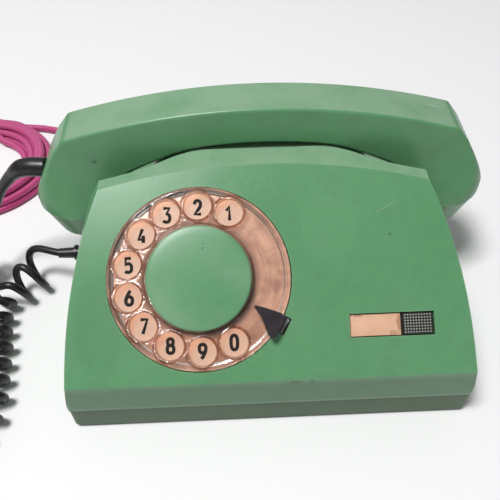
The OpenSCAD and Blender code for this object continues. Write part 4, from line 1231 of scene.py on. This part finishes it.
def makePlateGroup():
    # stained number plate with a cleaner disc in front of each finger hole, and painted shade at its rim
    tree, given, out = newGroup("stained_plate", surfaceParts, Clean=(0.8, 0.6, 0.4, 1),
                                Stain=(0.4, 0.2, 0.1, 1), Dark=(0.1, 0.05, 0.02, 1))
    turned, radius, angle, away = holeField(tree, given["Vector"])
    swept = {0: times(tree, radius, 380.0), 1: times(tree, angle, 1.1)}
    sweep = addNode(tree, "ShaderNodeCombineXYZ", swept).outputs[0]
    streak = ramped(tree, noise(tree, sweep, 1.0, 4.0, 0.6, 0.6), 0.42, 0.66)
    cloud = ramped(tree, noise(tree, turned, 90, 4.0, 0.6), 0.35, 0.7)
    grain = noise(tree, turned, 700, 3.0)
    colour = mixed(tree, plus(tree, 0.55, times(tree, cloud, 0.4)), given["Clean"], given["Stain"])
    colour = laid(tree, colour, given["Dark"], streak, 0.35)
    # darker towards the middle, round the cap's edge
    colour = laid(tree, colour, given["Dark"], ramped(tree, radius, 0.0300, 0.0262), 0.6)
    # painted shade: near black towards the plate's rim, in the gap under the wheel's rim and the opening's
    # edge
    colour = laid(tree, colour, (0.02, 0.012, 0.01), ramped(tree, radius, 0.0418, 0.0430), 0.95)
    colour = laid(tree, colour, given["Clean"], ramped(tree, away, 0.0071, 0.0064), 0.9)
    ring = times(tree, ramped(tree, away, 0.0062, 0.0067), ramped(tree, away, 0.0074, 0.0068))
    colour = laid(tree, colour, given["Dark"], ring, 0.45)
    colour = mixed(tree, ramped(tree, grain, 0.5, 0.8, 0.0, 0.12), colour, given["Dark"])
    return give(tree, out, Color=colour, Roughness=plus(tree, 0.34, times(tree, cloud, 0.2)),
                Height=plus(tree, times(tree, cloud, 0.3), times(tree, grain, 0.2)))


def makeWheelGroup():
    # scratches and grime on the clear wheel, and painted shade: browner round the holes, on the collar walls
    tree, given, out = newGroup("clear_wheel_grime_and_shade", surfaceParts, Clear=(0.95, 0.86, 0.78, 1),
                                Brown=(0.6, 0.4, 0.3, 1))
    field = holeField(tree, given["Vector"])
    turned, away = field[0], field[3]
    # painted shade: brown on the collar walls round each hole stands in for the shade inside the hole; the
    # cloud below is grime
    wall = times(tree, ramped(tree, away, 0.0085, 0.0077), ramped(tree, away, 0.0060, 0.0066))
    cloud = ramped(tree, noise(tree, turned, 120, 4.0, 0.6), 0.4, 0.7)
    shadeAndGrime = plus(tree, times(tree, wall, 0.7), times(tree, cloud, 0.2), clamp=True)
    colour = mixed(tree, shadeAndGrime, given["Clear"], given["Brown"])
    hair = grouped(tree, scratchGroup, Vector=given["Vector"], Amount=0.8)["Mask"]
    rough = plus(tree, 0.05, plus(tree, times(tree, cloud, 0.1), times(tree, hair, 0.3)))
    height = less(tree, times(tree, noise(tree, turned, 60, 2.0), 0.8), times(tree, hair, 0.5))
    return give(tree, out, Color=colour, Roughness=rough, Height=height)


def makeMetalGroup():
    # drawn or turned metal: fine brush lines, tarnish in patches
    tree, given, out = newGroup("worked_metal", surfaceParts, Base=(0.6, 0.6, 0.6, 1),
                                Tarnish=(0.3, 0.25, 0.2, 1), Gloss=0.3)
    line = noise(tree, stretched(tree, given["Vector"], (30, 900, 900)), 1.0, 3.0)
    patch = ramped(tree, noise(tree, given["Vector"], 70, 4.0, 0.65), 0.48, 0.7)
    colour = laid(tree, given["Base"], given["Tarnish"], patch, 0.6)
    colour = laid(tree, colour, given["Tarnish"], line, 0.12)
    rough = plus(tree, plus(tree, given["Gloss"], times(tree, patch, 0.25)), times(tree, line, 0.12))
    return give(tree, out, Color=colour, Roughness=rough, Height=plus(tree, line, times(tree, patch, 0.5)))


plateGroup = makePlateGroup()
wheelGroup = makeWheelGroup()
metalGroup = makeMetalGroup()


def groupMaterial(name, group, colour, rough, distance, inputs, **fixed):
    # a material whose colour, roughness and height all come from one group
    material, tree, shader, where = newMaterial(name, colour, rough, **fixed)
    look = grouped(tree, group, Vector=where, **inputs)
    surfaced(tree, shader, look["Color"], look["Roughness"], look["Height"], distance)
    return material


def mouldedMaterial(name, base, faded, grime, gloss, fade, scratch):
    inputs = {"Base": tint(*base), "Faded": tint(*faded), "Grime": tint(*grime), "Fade": fade, "Gloss": gloss,
              "Scratch": scratch}
    return groupMaterial(name, mouldGroup, inputs["Base"], gloss, moulded["bump"], inputs)


def metalMaterial(name, base, tarnish, gloss):
    inputs = {"Base": tint(*base), "Tarnish": tint(*tarnish), "Gloss": gloss}
    return groupMaterial(name, metalGroup, inputs["Base"], gloss, 0.00003, inputs, Metallic=1.0)


def plateMaterial():
    inputs = {"Clean": tint(214, 176, 152), "Stain": tint(118, 84, 68), "Dark": tint(78, 46, 34)}
    return groupMaterial("stained_cream_plate", plateGroup, tint(225, 180, 148), 0.4, 0.00008, inputs)


def wheelMaterial():
    # clear to light on its way to the plate, so the plate isn't left in the dark
    inputs = {"Clear": tint(252, 248, 245), "Brown": tint(200, 158, 134)}
    material = groupMaterial("clear_wheel_plastic", wheelGroup, tint(250, 238, 228), 0.06, 0.00015, inputs,
                             IOR=1.46, Transmission_Weight=1.0)
    tree = material.node_tree
    seeThrough = addNode(tree, "ShaderNodeBsdfTransparent", {"Color": (0.84, 0.78, 0.74, 1)})
    path = tree.nodes.new("ShaderNodeLightPath").outputs["Is Shadow Ray"]
    mix = addNode(tree, "ShaderNodeMixShader", {
        "Fac": path, 1: tree.nodes["Principled BSDF"].outputs["BSDF"], 2: seeThrough.outputs["BSDF"]})
    tree.links.new(mix.outputs["Shader"], tree.nodes["Material Output"].inputs["Surface"])
    return material


bodyMint = mintMaterial("mint_body", mint, faded, grime, **mintLook["body"])
handsetMint = mintMaterial("mint_handset", mint, faded, grime, **mintLook["handset"])
capMint = mintMaterial("mint_dial_cap", mint, faded, grime, **mintLook["dialCap"])
# painted shade: the tray's mint is a darker copy of the body's, for its steep faces low in the light
trayShadedMint = mintMaterial("mint_tray", tint(64, 104, 68), tint(80, 114, 80), grime, gloss=0.42, fade=0.35)

# stains on the label, and painted shade along its edges in the window's recess: place on the panel, size,
# swatch, strength, raggedness
cardStainsAndShade = [
    ((61.2, 25), (0.0016, 0.006, 0.006), (150, 104, 72), 0.7, 0.5),
    ((58, 21), (0.003, 0.0012, 0.0012), (160, 112, 82), 0.5, 0.7),
    ((41, 29.6), (0.0035, 0.0009, 0.0009), (140, 96, 70), 0.6, 0.7),
    # painted shade: thin dark lines along the card's top, bottom and left edges, in the window's recess
    ((50, 30.2), (0.012, 0.0005, 0.0005), (120, 80, 56), 0.6, 0.3),
    ((50, 19.7), (0.012, 0.0005, 0.0005), (120, 80, 56), 0.6, 0.3),
    ((37.8, 25), (0.0005, 0.006, 0.006), (120, 80, 56), 0.6, 0.3),
]
cardLevel = -1.5
cardStainAndShadeMarks = [(tuple(onPanel @ Vector((x * mm, up * mm, cardLevel * mm))), size, tint(*swatch), *rest)
             for (x, up), size, swatch, *rest in cardStainsAndShade]

dust = (92, 88, 84)
mouldings = {
    # name, base, faded and grime swatches, gloss, fade, scratch
    "stop": ("black_finger_stop", (24, 18, 26), (58, 50, 56), dust, 0.28, 0.3, 0.6),
    "ink": ("black_digit_ink", (9, 7, 6), (22, 16, 14), (34, 26, 22), 0.8, 0.3, 0.0),
    "keyBlack": ("black_recall_key", (18, 18, 18), (52, 52, 50), dust, 0.45, 0.3, 0.3),
    "keyDots": ("worn_key_dots", (112, 116, 110), (168, 170, 162), (40, 40, 38), 0.4, 0.6, 0.2),
    "rubber": ("black_foot_rubber", (14, 12, 14), (34, 32, 34), dust, 0.7, 0.5, 0.1),
    "cordBlack": ("black_cord_sheath", (13, 12, 13), (36, 34, 35), dust, 0.36, 0.35, 0.2),
    "magenta": ("magenta_cord_sheath", (176, 54, 112), (196, 92, 140), (96, 30, 60), 0.38, 0.6, 0.2),
    "dark": ("dark_moulding", (30, 30, 30), (54, 54, 54), dust, 0.5, 0.3, 0.2),
    "white": ("off_white_moulding", (226, 222, 208), (206, 198, 176), (120, 110, 92), 0.4, 0.5, 0.2),
    "blue": ("blue_sleeve", (40, 78, 140), (70, 104, 160), (20, 30, 50), 0.3, 0.3, 0.2),
    "board": ("phenolic_board", (176, 126, 66), (150, 104, 52), (80, 50, 24), 0.45, 0.6, 0.2),
    "wound": ("wound_wire", (150, 70, 34), (190, 104, 60), (70, 30, 16), 0.35, 0.6, 0.1),
}
metals = {
    # name, base and tarnish swatches, gloss
    "steel": ("plated_steel", (198, 196, 190), (128, 112, 92), 0.28),
    "brass": ("worn_brass", (212, 176, 104), (128, 92, 50), 0.26),
    "alloy": ("bare_alloy", (206, 206, 204), (146, 144, 138), 0.36),
}
looks = {key: mouldedMaterial(*row) for key, row in mouldings.items()}
looks.update({key: metalMaterial(*row) for key, row in metals.items()})
looks["plate"] = plateMaterial()
looks["card"] = mintMaterial("stained_and_shaded_label_card", tint(228, 182, 152), tint(206, 160, 130),
                             tint(140, 96, 70), cardStainAndShadeMarks, gloss=0.5, fade=0.5)

nodeLooks = {
    "rubber": ["rubber_feet"],
    "steel": ["base_screws", "dial_back_plate", "wheel_nut", "main_shaft", "return_spring", "governor_rotor",
              "button_spring", "hook_lever", "lever_pin", "hook_bracket", "ringer_frame", "left_gong",
              "right_gong", "gong_posts", "clapper"],
    "brass": ["dial_screws", "main_gear", "pulse_contacts", "governor_cup", "hook_contacts"],
    "alloy": ["dial_frame", "ear_capsule"],
    "plate": ["number_plate"],
    "white": ["pulse_gear", "button_switch", "hook_plungers", "line_plug"],
    "dark": ["label_tray", "mouth_capsule", "line_transformer", "terminal_block", "line_gland", "cord_tie"],
    "wound": ["ringer_coils"],
    "board": ["circuit_board"],
    "blue": ["capacitors"],
    "cordBlack": ["body_relief"],
}
for look, names in nodeLooks.items():
    for name in names:
        dress(nodes[name], looks[look])
for piece, material in (
        (cover, bodyMint), (handset, handsetMint), (caps[0], handsetMint), (caps[1], handsetMint),
        (wheelCap, capMint), (tray, trayShadedMint), (wheel, wheelMaterial()), (stop, looks["stop"]),
        (digits, looks["ink"]), (card, looks["card"]), (key, looks["keyBlack"]), (dots, looks["keyDots"]),
        (relief, looks["cordBlack"]), (curly, looks["cordBlack"]), (lineStrand, looks["magenta"])):
    dress(piece, material)
print("materials dressed")


# room

roomLook = {"key": (-0.50, -0.36, 1.90), "keySize": 0.5, "keyPower": 36, "world": 0.27,
            "floor": (0.86, 0.86, 0.86), "floorRough": 0.8, "floorSize": 6}


def studio(s):
    bpy.ops.mesh.primitive_plane_add(size=s["floorSize"], location=(0, 0, 0))
    floor = named("floor")
    dress(floor, newMaterial("floor_white", s["floor"], s["floorRough"])[0])
    bpy.ops.object.light_add(type="AREA", location=s["key"])
    key = bpy.context.object
    key.data.size = s["keySize"]
    key.data.energy = s["keyPower"]
    key.rotation_euler = (-key.location).to_track_quat("-Z", "Y").to_euler()
    world = bpy.data.worlds.new("room")
    bpy.context.scene.world = world
    world.use_nodes = True
    background = world.node_tree.nodes["Background"].inputs
    background["Color"].default_value = (1, 1, 1, 1)
    background["Strength"].default_value = s["world"]


studio(roomLook)
bpy.context.scene.view_settings.view_transform = "Standard"
